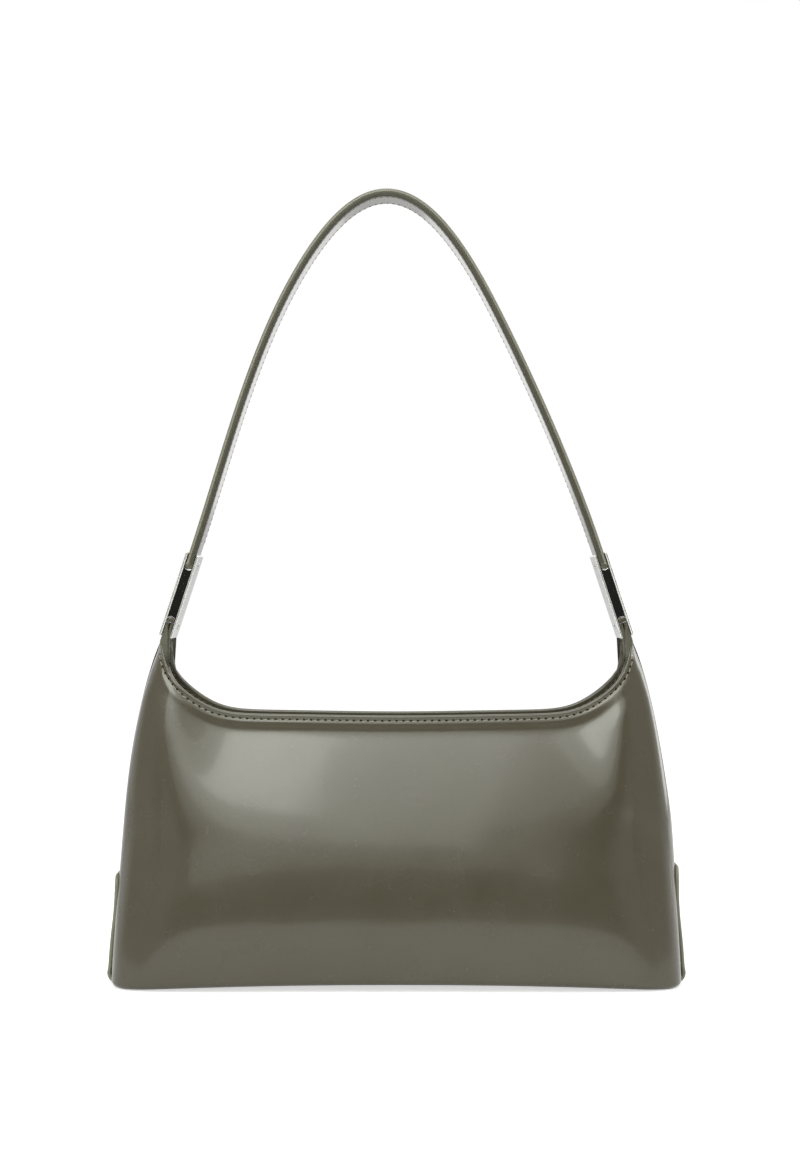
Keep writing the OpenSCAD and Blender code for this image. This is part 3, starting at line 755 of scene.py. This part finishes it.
def on_end(turn, s, y):
    """The end's surface at a length along the patch's path and a distance beside the seam."""
    heights, insets, along = SEAMS[turn]
    z, inset = np.interp(s, along, heights), np.interp(s, along, insets)
    depth = half_depth(z, 1.0) - inset
    n = math.log(2) / -np.log(1 - corner_drop(z) / half_w(z))
    w = half_w(z) - inset
    flat = smooth((inset - 0.3 * BASE_R) / BASE_R)
    u = np.minimum(np.abs(y) / depth, 0.999)
    x = w * (1 - (1 - (1 - u ** n) ** (1 / n)) * (1 - flat))
    x = x + (bulge(z) * (1 - flat) if turn > 0 else 0)
    return np.stack(np.broadcast_arrays(x, y, z), -1)


def end_normal(turn, s, y):
    ds = on_end(turn, s + 0.2, y) - on_end(turn, s - 0.2, y)
    dy = on_end(turn, s, y + 0.2) - on_end(turn, s, y - 0.2)
    return unit(np.cross(dy, ds))


def thin(z, turn):
    """How much closer the patch lies to the wall above its foot."""
    return (0.6 + (0.95 if turn > 0 else 0.9) * np.exp(-((z - 37) / 15) ** 2)) * smooth((z - 3) / 6)


def end_patch(turn):
    """A patch with round corners that wraps from under the base up the side seam."""
    length, half = float(SEAMS[turn][2][-1]), PATCH_W / 2
    near = np.array([0, 0.03, 0.1, 0.22, 0.38, 0.56, 0.78, 1.0, 1.3, 1.8, 2.5, 3.4, 4.5, 5.5, 6.5])
    su = np.concatenate([near, np.linspace(8, length - 8, 90), length - near[::-1]])
    c = np.minimum(np.minimum(su, length - su), PATCH_R)
    width = half - PATCH_R + np.sqrt(np.maximum(PATCH_R ** 2 - (PATCH_R - c) ** 2, 0))
    eta = np.concatenate([1 - near[:-2] / half, np.linspace(0.5, -0.5, 9), -1 + near[:-2][::-1] / half])
    y = width[:, None] * eta[None, :]
    S = np.broadcast_to(su[:, None], y.shape)
    dx, dy = np.abs(S - length / 2) - (length / 2 - PATCH_R), np.abs(y) - (half - PATCH_R)
    D = PATCH_R - (np.hypot(np.maximum(dx, 0), np.maximum(dy, 0)) + np.minimum(np.maximum(dx, dy), 0))
    D = np.maximum(D, 0)
    D[:, [0, -1]] = D[[0, -1]] = 0
    M = end_normal(turn, np.clip(S, 0.3, length - 0.3), y)
    base = on_end(turn, S, y) + M * SEAT_GAP
    crown = 0.1 * smooth(D / 8) - 0.16 * np.exp(-((D - 2.3) / 0.6) ** 2)
    crown = crown * smooth((base[..., 2] - 3) / 6) - thin(base[..., 2], turn)
    outer = base + M * (PATCH_T + crown)[..., None]
    return layer_mesh(outer, M, D, 0.0, PATCH_T - 0.6, flip=True, edge_at=0.9)


def patch_stitches(turn):
    """The stitches along both sides and the top of a patch."""
    length, half, d = float(SEAMS[turn][2][-1]), PATCH_W / 2, 2.3
    r = PATCH_R - d
    path = [(x, half - d) for x in np.linspace(30, length - d - r, 120)]
    path += [(length - d - r + r * math.sin(t), half - d - r + r * math.cos(t))
             for t in np.linspace(0, math.pi / 2, 14)]
    path += [(length - d, yy) for yy in np.linspace(half - d - r, -(half - d - r), 40)]
    back = [(x, -yy) for x, yy in path[::-1]]
    s, y = np.array(path + back[40:]).T
    M, Q = end_normal(turn, s, y), on_end(turn, s, y)
    Q = Q + M * (SEAT_GAP + PATCH_T - 0.2 - thin(Q[:, 2], turn))[:, None]
    return stitches(Q, M, 3.3, 2.6, 0.6, 0.28, tilt=0.15, seed=8)


# The patches' skin is a lighter copy of the calf, and their edges use the lighter copy of the edge paint; both are
# painted light.
pair("patch", end_patch, [PATCH_LIT_SKIN, HIGHLIT_EDGE], "calf_leather", "bag", "{}_end_patch")
pair("patch_stitches", patch_stitches, [THREAD, HOLE_SHADE], "stitching", "bag")


def around(a):
    """The front's angle for an angle all round the bag, and the sign of its depth there."""
    return np.where(a > np.pi, 2 * np.pi - a, a), np.where(a > np.pi, -1.0, 1.0)


def flat_plate(inset, low, thick, edge):
    """A flat piece with the base's outline, drawn in by an inset, with rounded edges."""
    insets = np.array([0, 0.03, 0.1, 0.25, 0.45, 0.8, 1.4, 3, 6, 10, 15, 19])
    b, sign = around(np.linspace(0, 2 * np.pi, 241)[:-1])
    rings = []
    for k in insets:
        q = plan(b, np.full_like(b, BASE_Z), inset + k)
        q[:, 1] *= sign
        q[:, 2] = low
        rings.append(q)
    rings += [rings[-1] * [t, t, 1] for t in (0.7, 0.35, 0.007)]
    P = settle(np.stack(rings, 1))
    D = np.broadcast_to([*insets, 22, 30, 38], P.shape[:2])
    M = np.broadcast_to([0.0, 0.0, -1.0], P.shape)
    return layer_mesh(P, M, D, 0.0, thick, wrap=True, edge_at=edge)


base_leather = flat_plate(BASE_R + TURN_IN + 0.25, BASE_Z, 1.6, 0.3)
make("base_leather", base_leather, [CALF, EDGE], "calf_leather", "bag", "base_panel")
board = flat_plate(BASE_R + 2.0, 4.65, 2.0, 0.3)
make("fibre_base_board", board, [BOARD, BOARD], "stiffener_board", "bag", "base_board")


# ---- lining, pocket and snap

def lining():
    """The cloth inside: a floor with round edges and walls with soft folds, up to behind the facings."""
    a = np.linspace(0, 2 * np.pi, 241)[:-1] + 1e-4
    b, sign = around(a)
    foot = FLOOR_Z + LINING_R
    top = column_top(b) - FACING_H + 5
    zz = foot + (top[:, None] - foot) * np.linspace(0, 1, 46)[None, :]
    P, N = skin(b[:, None], zz)
    c = a[:, None]
    fold = np.sin(c * 9 + 1) * np.sin(zz / 21 + 1.3 * np.sin(3 * c)) + 0.6 * np.sin(c * 23) * np.sin(zz / 9 + 2 * c)
    give = smooth((zz - foot) / 15) * smooth((top[:, None] - 8 - zz) / 12)
    wall_in = LINING_IN + give * (0.7 + 0.45 * fold)
    corner = []
    for t in np.linspace(0, math.pi / 2, 9)[:-1]:
        q = plan(b, np.full_like(b, foot), LINING_IN + LINING_R * (1 - math.sin(t)))
        q[:, 2] = foot - LINING_R * math.cos(t)
        corner.append(q)
    floor = []
    centre = np.array([0, 0, FLOOR_Z])
    for t in (0.02, 0.25, 0.5, 0.75):
        q = centre + (corner[0] - centre) * t
        q[:, 2] = FLOOR_Z + 0.15 * np.sin(q[:, 0] / 11)
        floor.append(q)
    W = P - N * wall_in[..., None]
    G = settle(np.concatenate([np.stack(floor, 1), np.stack(corner, 1), W], 1))
    G[..., 1] *= sign[:, None]
    wrapped = np.concatenate([G[-1:], G, G[:1]], 0)
    along, up = np.gradient(wrapped, axis=0)[1:-1], np.gradient(G, axis=1)
    M = unit(np.cross(up, along))
    M = np.where(np.isfinite(M), M, 0)
    return layer_mesh(G, M, np.full(G.shape[:2], 9.0), 0.0, LINING_T, wrap=True)


make("cloth_lining", lining(), [LINING, LINING], "lining_fabric", "bag", "lining")


def pocket_stand(x, z):
    """How far the pocket's cloth stands inside the skin. It bags out towards its top."""
    rise = z - POCKET_LOW
    bag_out = 2.6 * smooth(rise / (POCKET_TOP - POCKET_LOW)) * (1 - (x / POCKET_HALF) ** 4)
    return 2.9 + bag_out + 0.25 * np.sin(x / 7) * rise / 60


def pocket():
    """The slip pocket on the back lining."""
    low, high, half = POCKET_LOW, POCKET_TOP, POCKET_HALF
    close = np.array([7, 6, 5, 4, 3, 2, 1.2, 0.6, 0.25, 0.1, 0])
    rows = np.concatenate([np.linspace(low, high - 8, 24), high - close])
    x = np.concatenate([[1, 0.996, 0.985, 0.97], np.linspace(0.94, -0.94, 60), [-0.97, -0.985, -0.996, -1]]) * half
    zz = np.broadcast_to(rows[None, :], (len(x), len(rows)))
    a = np.pi / 2 - np.arctan(x[:, None] / half_w(zz))
    P, N = skin(a, zz)
    G = P - N * pocket_stand(x[:, None], zz)[..., None]
    D = np.minimum(np.minimum(half - np.abs(x)[:, None] + 0 * zz, zz - low), high - zz)
    return layer_mesh(G * BEHIND, N * BEHIND, np.maximum(D, 0), 0.0, POCKET_T, flip=True)


def pocket_hem():
    """The stitches of the pocket's hem."""
    x = np.linspace(POCKET_HALF - 1, 1 - POCKET_HALF, 220)
    z = np.full_like(x, POCKET_TOP - 6.5)
    a = np.pi / 2 - np.arctan(x / half_w(z))
    P, N = skin(a, z)
    G = P - N * (pocket_stand(x, z) + POCKET_T)[:, None]
    return stitches(G * BEHIND, -N * BEHIND, 2.8, 2.2, 0.4, 0.16, tilt=0.0, hole=0.0, seed=12)


make("cloth_slip_pocket", pocket(), [LINING, LINING], "lining_fabric", "bag", "slip_pocket")
make("pocket_stitches", pocket_hem(), [THREAD, HOLE_SHADE], "stitching", "bag")


def lathe(profile, steps=56):
    """A turned solid. The profile gives (radius, height) from the axis round and back to the axis."""
    prof = np.array(profile, float)
    t = np.linspace(0, 2 * np.pi, steps + 1)[:-1]
    P = np.stack([np.outer(np.cos(t), prof[:, 0]), np.outer(np.sin(t), prof[:, 0]),
                  np.broadcast_to(prof[:, 1], (steps, len(prof)))], -1)
    idx = np.arange(P.shape[0] * P.shape[1]).reshape(P.shape[:2])
    faces = grid_quads(np.vstack([idx, idx[:1]]))[:, ::-1]
    return compact(P.reshape(-1, 3), faces, [0] * len(faces))


def snap(side, profile):
    """A turned snap half on the front's or the back's facing, its axis square to the leather."""
    P, N = skin(np.array([math.pi / 2]), np.array([RIM_Z - SNAP_DROP]))
    P, N = P[0], N[0]
    if side > 0:
        P, N = P * BEHIND, N * BEHIND
    across = np.array([1.0, 0, 0])
    p, f, m = lathe(profile)
    return P - N * SNAP_IN + p[:, :1] * across - p[:, 1:2] * np.cross(N, across) - p[:, 2:] * N, f, m


DISC = [(0, 0), (7.6, 0), (7.9, 0.15), (8, 0.5), (8, 1.4), (7.8, 1.9), (7.3, 2.25), (6.6, 2.4)]
SOCKET = DISC + [(4.2, 2.4), (3.7, 2.3), (3.35, 2.0), (3.25, 1.6), (3.2, 0.7), (3.0, 0.45), (0, 0.4)]
STUD = DISC + [(3.6, 2.4), (3.15, 2.5), (3.0, 2.8), (3.0, 3.6), (2.85, 4.0), (2.5, 4.2), (0, 4.2)]
for side, word, profile in ((-1, "socket", SOCKET), (1, "stud", STUD)):
    make("turned_snap_" + word, snap(side, profile), [SATIN], "snap_metal", "bag", "snap_" + word)


# ---- links, screws, tab ends

def to_link(part):
    """A part from the right link's own frame to the model's: u across the walls, y, w up along the link."""
    u, y, w = part[0].T
    return np.stack([LINK_X + u * math.cos(LEAN) - w * math.sin(LEAN), y,
                     LINK_Z + u * math.sin(LEAN) + w * math.cos(LEAN)], -1), *part[1:]


def prism(outline, half, bevel, steps=5, hold=0.12):
    """A slab between -half and half across Y whose two long edges are rounded. outline(inset) gives (u, w)."""
    arc = np.linspace(0, math.pi / 2, steps)
    prof = [(half, bevel + hold)] + [(half - bevel * (1 - math.cos(t)), bevel * (1 - math.sin(t))) for t in arc]
    prof += [(half - bevel - hold, 0.0)]
    prof = prof + [(-y, k) for y, k in prof[::-1]]
    return tube(np.stack([np.insert(outline(k), 1, y, axis=1) for y, k in prof]), end=-1)


def orient(p, f, m):
    """Turns the faces outward, told by the signed volume."""
    total = 0.0
    for g in f:
        for k in range(1, len(g) - 1):
            total += float(np.dot(p[g[0]], np.cross(p[g[k]], p[g[k + 1]])))
    return (p, f, m) if total > 0 else (p, [g[::-1] for g in f], m)


def wall_outline(centre):
    def outline(inset):
        r = LINK_WALL / 2 - inset
        t = np.linspace(0, math.pi, 15)
        low = [(centre - r * math.cos(x), LINK_WALL / 2 - r * math.sin(x)) for x in t]
        high = [(centre + r * math.cos(x), LINK_LEN - LINK_WALL / 2 + r * math.sin(x)) for x in t]
        side = np.linspace(LINK_WALL / 2 + 0.2, LINK_LEN - LINK_WALL / 2 - 0.2, 24)
        return np.array(low + [(centre + r, w) for w in side] + high + [(centre - r, w) for w in side[::-1]])
    return outline


def web_outline(inset):
    r = FORK_W / 2 + inset
    t = np.linspace(0, math.pi, 21)
    low_c, high_c = LOWER_FORK - FORK_W / 2, LINK_LEN - UPPER_FORK + FORK_W / 2
    low = [(r * math.cos(x), low_c + r * math.sin(x)) for x in t]
    high = [(-r * math.cos(x), high_c - r * math.sin(x)) for x in t]
    return np.array(low + high)


def link(turn):
    """Two walls with rounded ends, and the core between them in a darker copy of the nickel, painted shade for its
    recess.
    """
    parts = [orient(*prism(wall_outline(side * (LINK_T - LINK_WALL) / 2), LINK_D / 2, 0.55, 8)) for side in (-1, 1)]
    p, f, _ = orient(*prism(web_outline, LINK_D / 2 - WEB_SET, 0.3, 4))
    return to_link(join(parts + [(p, f, [1] * len(f))]))


def half_head(half):
    """Outline of one half of a screw's head, beside its slot."""
    def outline(inset):
        r = HEAD_R - inset
        low = math.asin((SLOT_HALF + inset) / r)
        edge = np.linspace(-1, 1, 7)[1:-1] * r * math.cos(low)
        points = [(r * math.cos(x), half * r * math.sin(x)) for x in np.linspace(low, math.pi - low, 20)]
        return np.array(points + [(e, half * (SLOT_HALF + inset)) for e in edge])
    return outline


def slot_bottom(inset):
    t = np.linspace(0, 2 * np.pi, 25)[:-1]
    return np.stack([np.cos(t), np.sin(t)], -1) * (HEAD_R + 0.1 - inset)


def on_wall(part, side, w, depth, index):
    """Turns a slab flat to a link's wall, a depth below its face and at a height w along the link."""
    p, f, _ = part
    return orient(np.stack([p[:, 1] + side * (LINK_T / 2 - depth), p[:, 0], p[:, 2] + w], -1), f, [index] * len(f))


def screws(turn):
    """The four flush heads of one link, each in two halves over the bottom of its slot, which is near black as
    painted shade.
    """
    parts = []
    for w in SCREWS:
        for side in (-1, 1):
            for half in (-1, 1):
                parts.append(on_wall(prism(half_head(half), 0.45, 0.14, 4, 0.05), side, w, 0.33, 0))
            # The slot's bottom takes the near-black second material, painted shade.
            parts.append(on_wall(prism(slot_bottom, 0.3, 0.05, 3, 0.05), side, w, 0.28, 1))
    return to_link(join(parts))


def fork_end(centre, up, width):
    """A rounded leather end: a half disc that closes the layers in a fork."""
    def outline(inset):
        r, flat = END_R - inset, centre - up * 0.02
        arc = [(r * math.cos(x), centre + up * r * math.sin(x)) for x in np.linspace(0, math.pi, 25)]
        return np.array(arc + [(-r * 0.5, flat), (0, flat), (r * 0.5, flat)])

    def build(turn):
        return to_link(orient(*prism(outline, width / 2, 0.45)))
    return build


EAR_END = fork_end(LOWER_FORK - FORK_SEAT - END_R, 1, NECK_D - 0.6)
STRAP_END = fork_end(LINK_LEN - UPPER_FORK + FORK_SEAT + END_R, -1, STRAP_W - 0.3)
pair("metal_link", link, [METAL, SHADED_CORE_METAL], "polished_metal", "handle", "{}_link")
pair("slotted_screws", screws, [METAL, HOLE_SHADE], "polished_metal", "handle", "link_screws")
pair("ear_end", EAR_END, [CALF], "calf_leather", "handle", "{}_tab")
pair("strap_end", STRAP_END, [EDGE], "edge_paint", "handle")


# ---- strap

def strap_path():
    """The middle of the strap from fork to fork, and the way to its top at each point, both as x and z."""
    p = np.linspace(1, -1, 3001)
    h = 1 - p * p
    lean_over = STRAP_SHIFT * smooth(np.minimum(1, h / 0.75))
    x = TOP_X * (p * (1 - ARCH) + ARCH * p ** 3) - lean_over
    z = TOP_Z + RISE * h
    k = np.linspace(UPPER_FORK - FORK_SEAT - END_R, 0, 24)[:-1]
    right = np.stack([TOP_X + k * math.sin(LEAN), TOP_Z - k * math.cos(LEAN)], -1)
    line = np.vstack([right, np.stack([x, z], -1), (right * [-1, 1])[::-1]])
    s = lengths(line)
    at = np.linspace(0, s[-1], 300)
    M = np.stack([np.interp(at, s, line[:, 0]), np.interp(at, s, line[:, 1])], -1)
    T = unit(np.gradient(M, axis=0))
    for _ in range(6):
        T[1:-1] = unit(T[:-2] + 2 * T[1:-1] + T[2:])
    return M, np.stack([T[:, 1], -T[:, 0]], -1)


STRAP_M, STRAP_N = strap_path()


def strap_side(n):
    """Half the strap's width at a height n in its thickness: one rounded edge over all its layers."""
    round_off = np.maximum(1 - (np.abs(n) / (STRAP_T / 2)) ** 2.6, 0) ** (1 / 2.6)
    return STRAP_W / 2 - STRAP_ROUND + STRAP_ROUND * round_off


def band(low, high, face_up=0, inset=0.0):
    """The closed section of one strap layer as (y, n) points. Its outside dips along the stitch rows."""
    y = np.linspace(-1, 1, 61)
    n = np.linspace(high, low, 13)
    side = strap_side(n) - inset
    groove = 0.14 * np.exp(-((np.abs(y * side[0 if face_up > 0 else -1]) - STRAP_ROW_Y) / 0.5) ** 2)
    up = high - (groove if face_up > 0 else 0 * y)
    down = low + (groove if face_up < 0 else 0 * y)
    pts = list(zip(y * side[0], up)) + list(zip(side[1:-1], n[1:-1]))
    pts += list(zip(y[::-1] * side[-1], down[::-1])) + list(zip(-side[-2:0:-1], n[-2:0:-1]))
    return np.array(pts)


def strap_layer(section):
    """A layer with this section along the strap's path. Its edges and ends have the second material."""
    M, S = STRAP_M[:, None], STRAP_N[:, None]
    y, n = section.T
    P = np.stack(np.broadcast_arrays(M[..., 0] + S[..., 0] * n, y, M[..., 1] + S[..., 1] * n), -1)
    near = (np.abs(y) > STRAP_W / 2 - 1.4) & (n < 1.5)
    edges = np.tile((near & np.roll(near, -1)).astype(int), len(M) - 1).tolist()
    return orient(P.reshape(-1, 3), tube_faces(*P.shape[:2]), edges + [1, 1])


# The strap's edge is one edge paint over all three layers, drawn lighter on the top layer as painted highlight and
# darker below as painted shade.
for name, node, section, materials, slot in (
        ("strap_top_leather", "strap_outer", band(0.46, 2.0, 1), [STRAP_SKIN, HIGHLIT_EDGE], "calf_leather"),
        ("strap_filling", "strap_core", band(-0.5, 0.44, 0, 0.03), [SHADED_EDGE, SHADED_EDGE], "stiffener_board"),
        ("strap_lining_leather", "strap_inner", band(-2.0, -0.52, -1), [STRAP_SKIN, SHADED_EDGE], "calf_leather")):
    make(name, strap_layer(section), materials, slot, "handle", node)


def strap_rows(n, sign):
    """The two rows of stitches at a height n in the strap's thickness."""
    M, S = STRAP_M[8:-8], STRAP_N[8:-8]
    parts = []
    for y in (-STRAP_ROW_Y, STRAP_ROW_Y):
        P = np.stack([M[:, 0] + S[:, 0] * n, np.full(len(M), y), M[:, 1] + S[:, 1] * n], -1)
        N = np.stack([S[:, 0], 0 * S[:, 0], S[:, 1]], -1) * sign
        parts.append(stitches(P, N, 2.9, 2.1, 0.6, 0.26, tilt=0.14 if y < 0 else -0.14, seed=int(20 + y)))
    return join(parts)


for word, n, sign in (("top", 1.76, 1), ("under", -1.86, -1)):
    make("strap_stitches_" + word, strap_rows(n, sign), [THREAD, HOLE_SHADE], "stitching", "handle")

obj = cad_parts["snap_plates"]
obj.data.materials.clear()
obj.data.materials.append(SATIN)


# ---- studio

def lamp(name, azimuths, elevations, radiance, distance=1.35, colour=(0.97, 1.0, 0.935)):
    """A soft panel that faces the bag and spans these angles, seen from it. Azimuth 0 is the front, 90 its right."""
    az, el = math.radians(sum(azimuths) / 2), math.radians(sum(elevations) / 2)
    width = 2 * distance * math.tan(math.radians(azimuths[1] - azimuths[0]) / 2) * math.cos(el)
    height = 2 * distance * math.tan(math.radians(elevations[1] - elevations[0]) / 2)
    target = Vector((0, 0, 0.12))
    at = target + distance * Vector((math.sin(az) * math.cos(el), -math.cos(az) * math.cos(el), math.sin(el)))
    data = bpy.data.lights.new(name, "AREA")
    data.shape = "RECTANGLE"
    data.size, data.size_y = width, height
    data.energy = radiance * math.pi * width * height
    data.color = colour
    obj = place(name, data)
    obj.location = at
    obj.rotation_euler = (target - at).to_track_quat("-Z", "Y").to_euler()
    obj.visible_camera = False


lamp("key_core", (-31, -2), (19, 60), 3.0)
lamp("key_soft", (-31, 8), (14, 60), 1.4, 1.36)
lamp("key_wide", (-30, 17), (9, 58), 0.65, 1.37)
lamp("key_right", (4, 17), (17, 40), 0.6, 1.38)
lamp("right_rim", (102, 132), (-2, 50), 2.4)
lamp("top_panel", (-50, 50), (68, 100), 1.5, 1.2)


def studio_world():
    """White for the camera and soft for light. Reflections see it white too, but dark where the camera stands."""
    world = bpy.data.worlds.new("studio")
    bpy.context.scene.world = world
    t = Tree(world)
    t.nodes.clear()
    white = (1, 1, 1, 1)
    rays = t.nodes.new("ShaderNodeLightPath").outputs
    ways = t.nodes.new("ShaderNodeSeparateXYZ")
    t.feed(ways.inputs[0], t.add("TexCoord", {}, "Generated"))
    y, z = ways.outputs["Y"], ways.outputs["Z"]
    before = t.add("Math", {0: t.spread(y, 0.05, -0.35), 1: t.spread(z, 0.85, 0.55)}, operation="MULTIPLY")
    dim = t.mix(t.spread(y, -0.78, -0.92), (0.4, 0.4, 0.385, 1), (0.03, 0.03, 0.028, 1))
    glossy = t.add("Background", {"Color": t.mix(before, white, dim)})
    soft = t.add("Background", {"Color": white, "Strength": 0.5})
    lit = t.add("MixShader", {0: rays["Is Glossy Ray"], 1: soft, 2: glossy})
    seen = t.add("Math", {0: rays["Is Camera Ray"], 1: rays["Is Transmission Ray"]}, operation="MAXIMUM")
    surface = t.add("MixShader", {0: seen, 1: lit, 2: t.add("Background", {"Color": white})})
    t.feed(t.nodes.new("ShaderNodeOutputWorld").inputs["Surface"], surface)


studio_world()


def floor_white():
    """A white that glows for the camera and a little for reflections, so that the floor's end doesn't show."""
    m, t = material("floor_white")
    t.nodes.clear()
    rays = t.nodes.new("ShaderNodeLightPath").outputs
    extra = t.add("Math", {0: rays["Is Glossy Ray"], 1: 0.2}, operation="MULTIPLY")
    level = t.add("Math", {0: rays["Is Camera Ray"], 1: 0.62, 2: extra}, operation="MULTIPLY_ADD")
    diffuse = t.add("BsdfDiffuse", {"Color": (0.8, 0.8, 0.8, 1)})
    surface = t.add("AddShader", {0: diffuse, 1: t.add("Emission", {"Strength": level})})
    t.feed(t.nodes.new("ShaderNodeOutputMaterial").inputs["Surface"], surface)
    return m


def floor():
    mesh = bpy.data.meshes.new("studio_floor")
    far, near = 9.0, 1.3
    mesh.from_pydata([(-far, -near, 0), (far, -near, 0), (far, far, 0), (-far, far, 0)], [], [(0, 1, 2, 3)])
    mesh.materials.append(floor_white())
    obj = place("studio_floor", mesh)
    obj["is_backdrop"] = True


floor()


def camera():
    """The photograph's camera, level and in front of the bag."""
    cam = bpy.data.cameras.new("camera")
    cam.sensor_width = 36.0
    cam.lens = 36.0 * FOCAL_PX / PHOTO_H
    cam.clip_start, cam.clip_end = 0.05, 50
    eye = place("camera", cam)
    eye.location = EYE
    eye.rotation_euler = (math.radians(90), 0, 0)
    bpy.context.scene.camera = eye


camera()
bpy.context.scene.view_settings.view_transform = "Standard"

bpy.context.view_layer.update()
new_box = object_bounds()
as_list = lambda b: [[float(v) for v in c] for c in b]
{"cad": as_list(cad_box), "visual": as_list(new_box)}
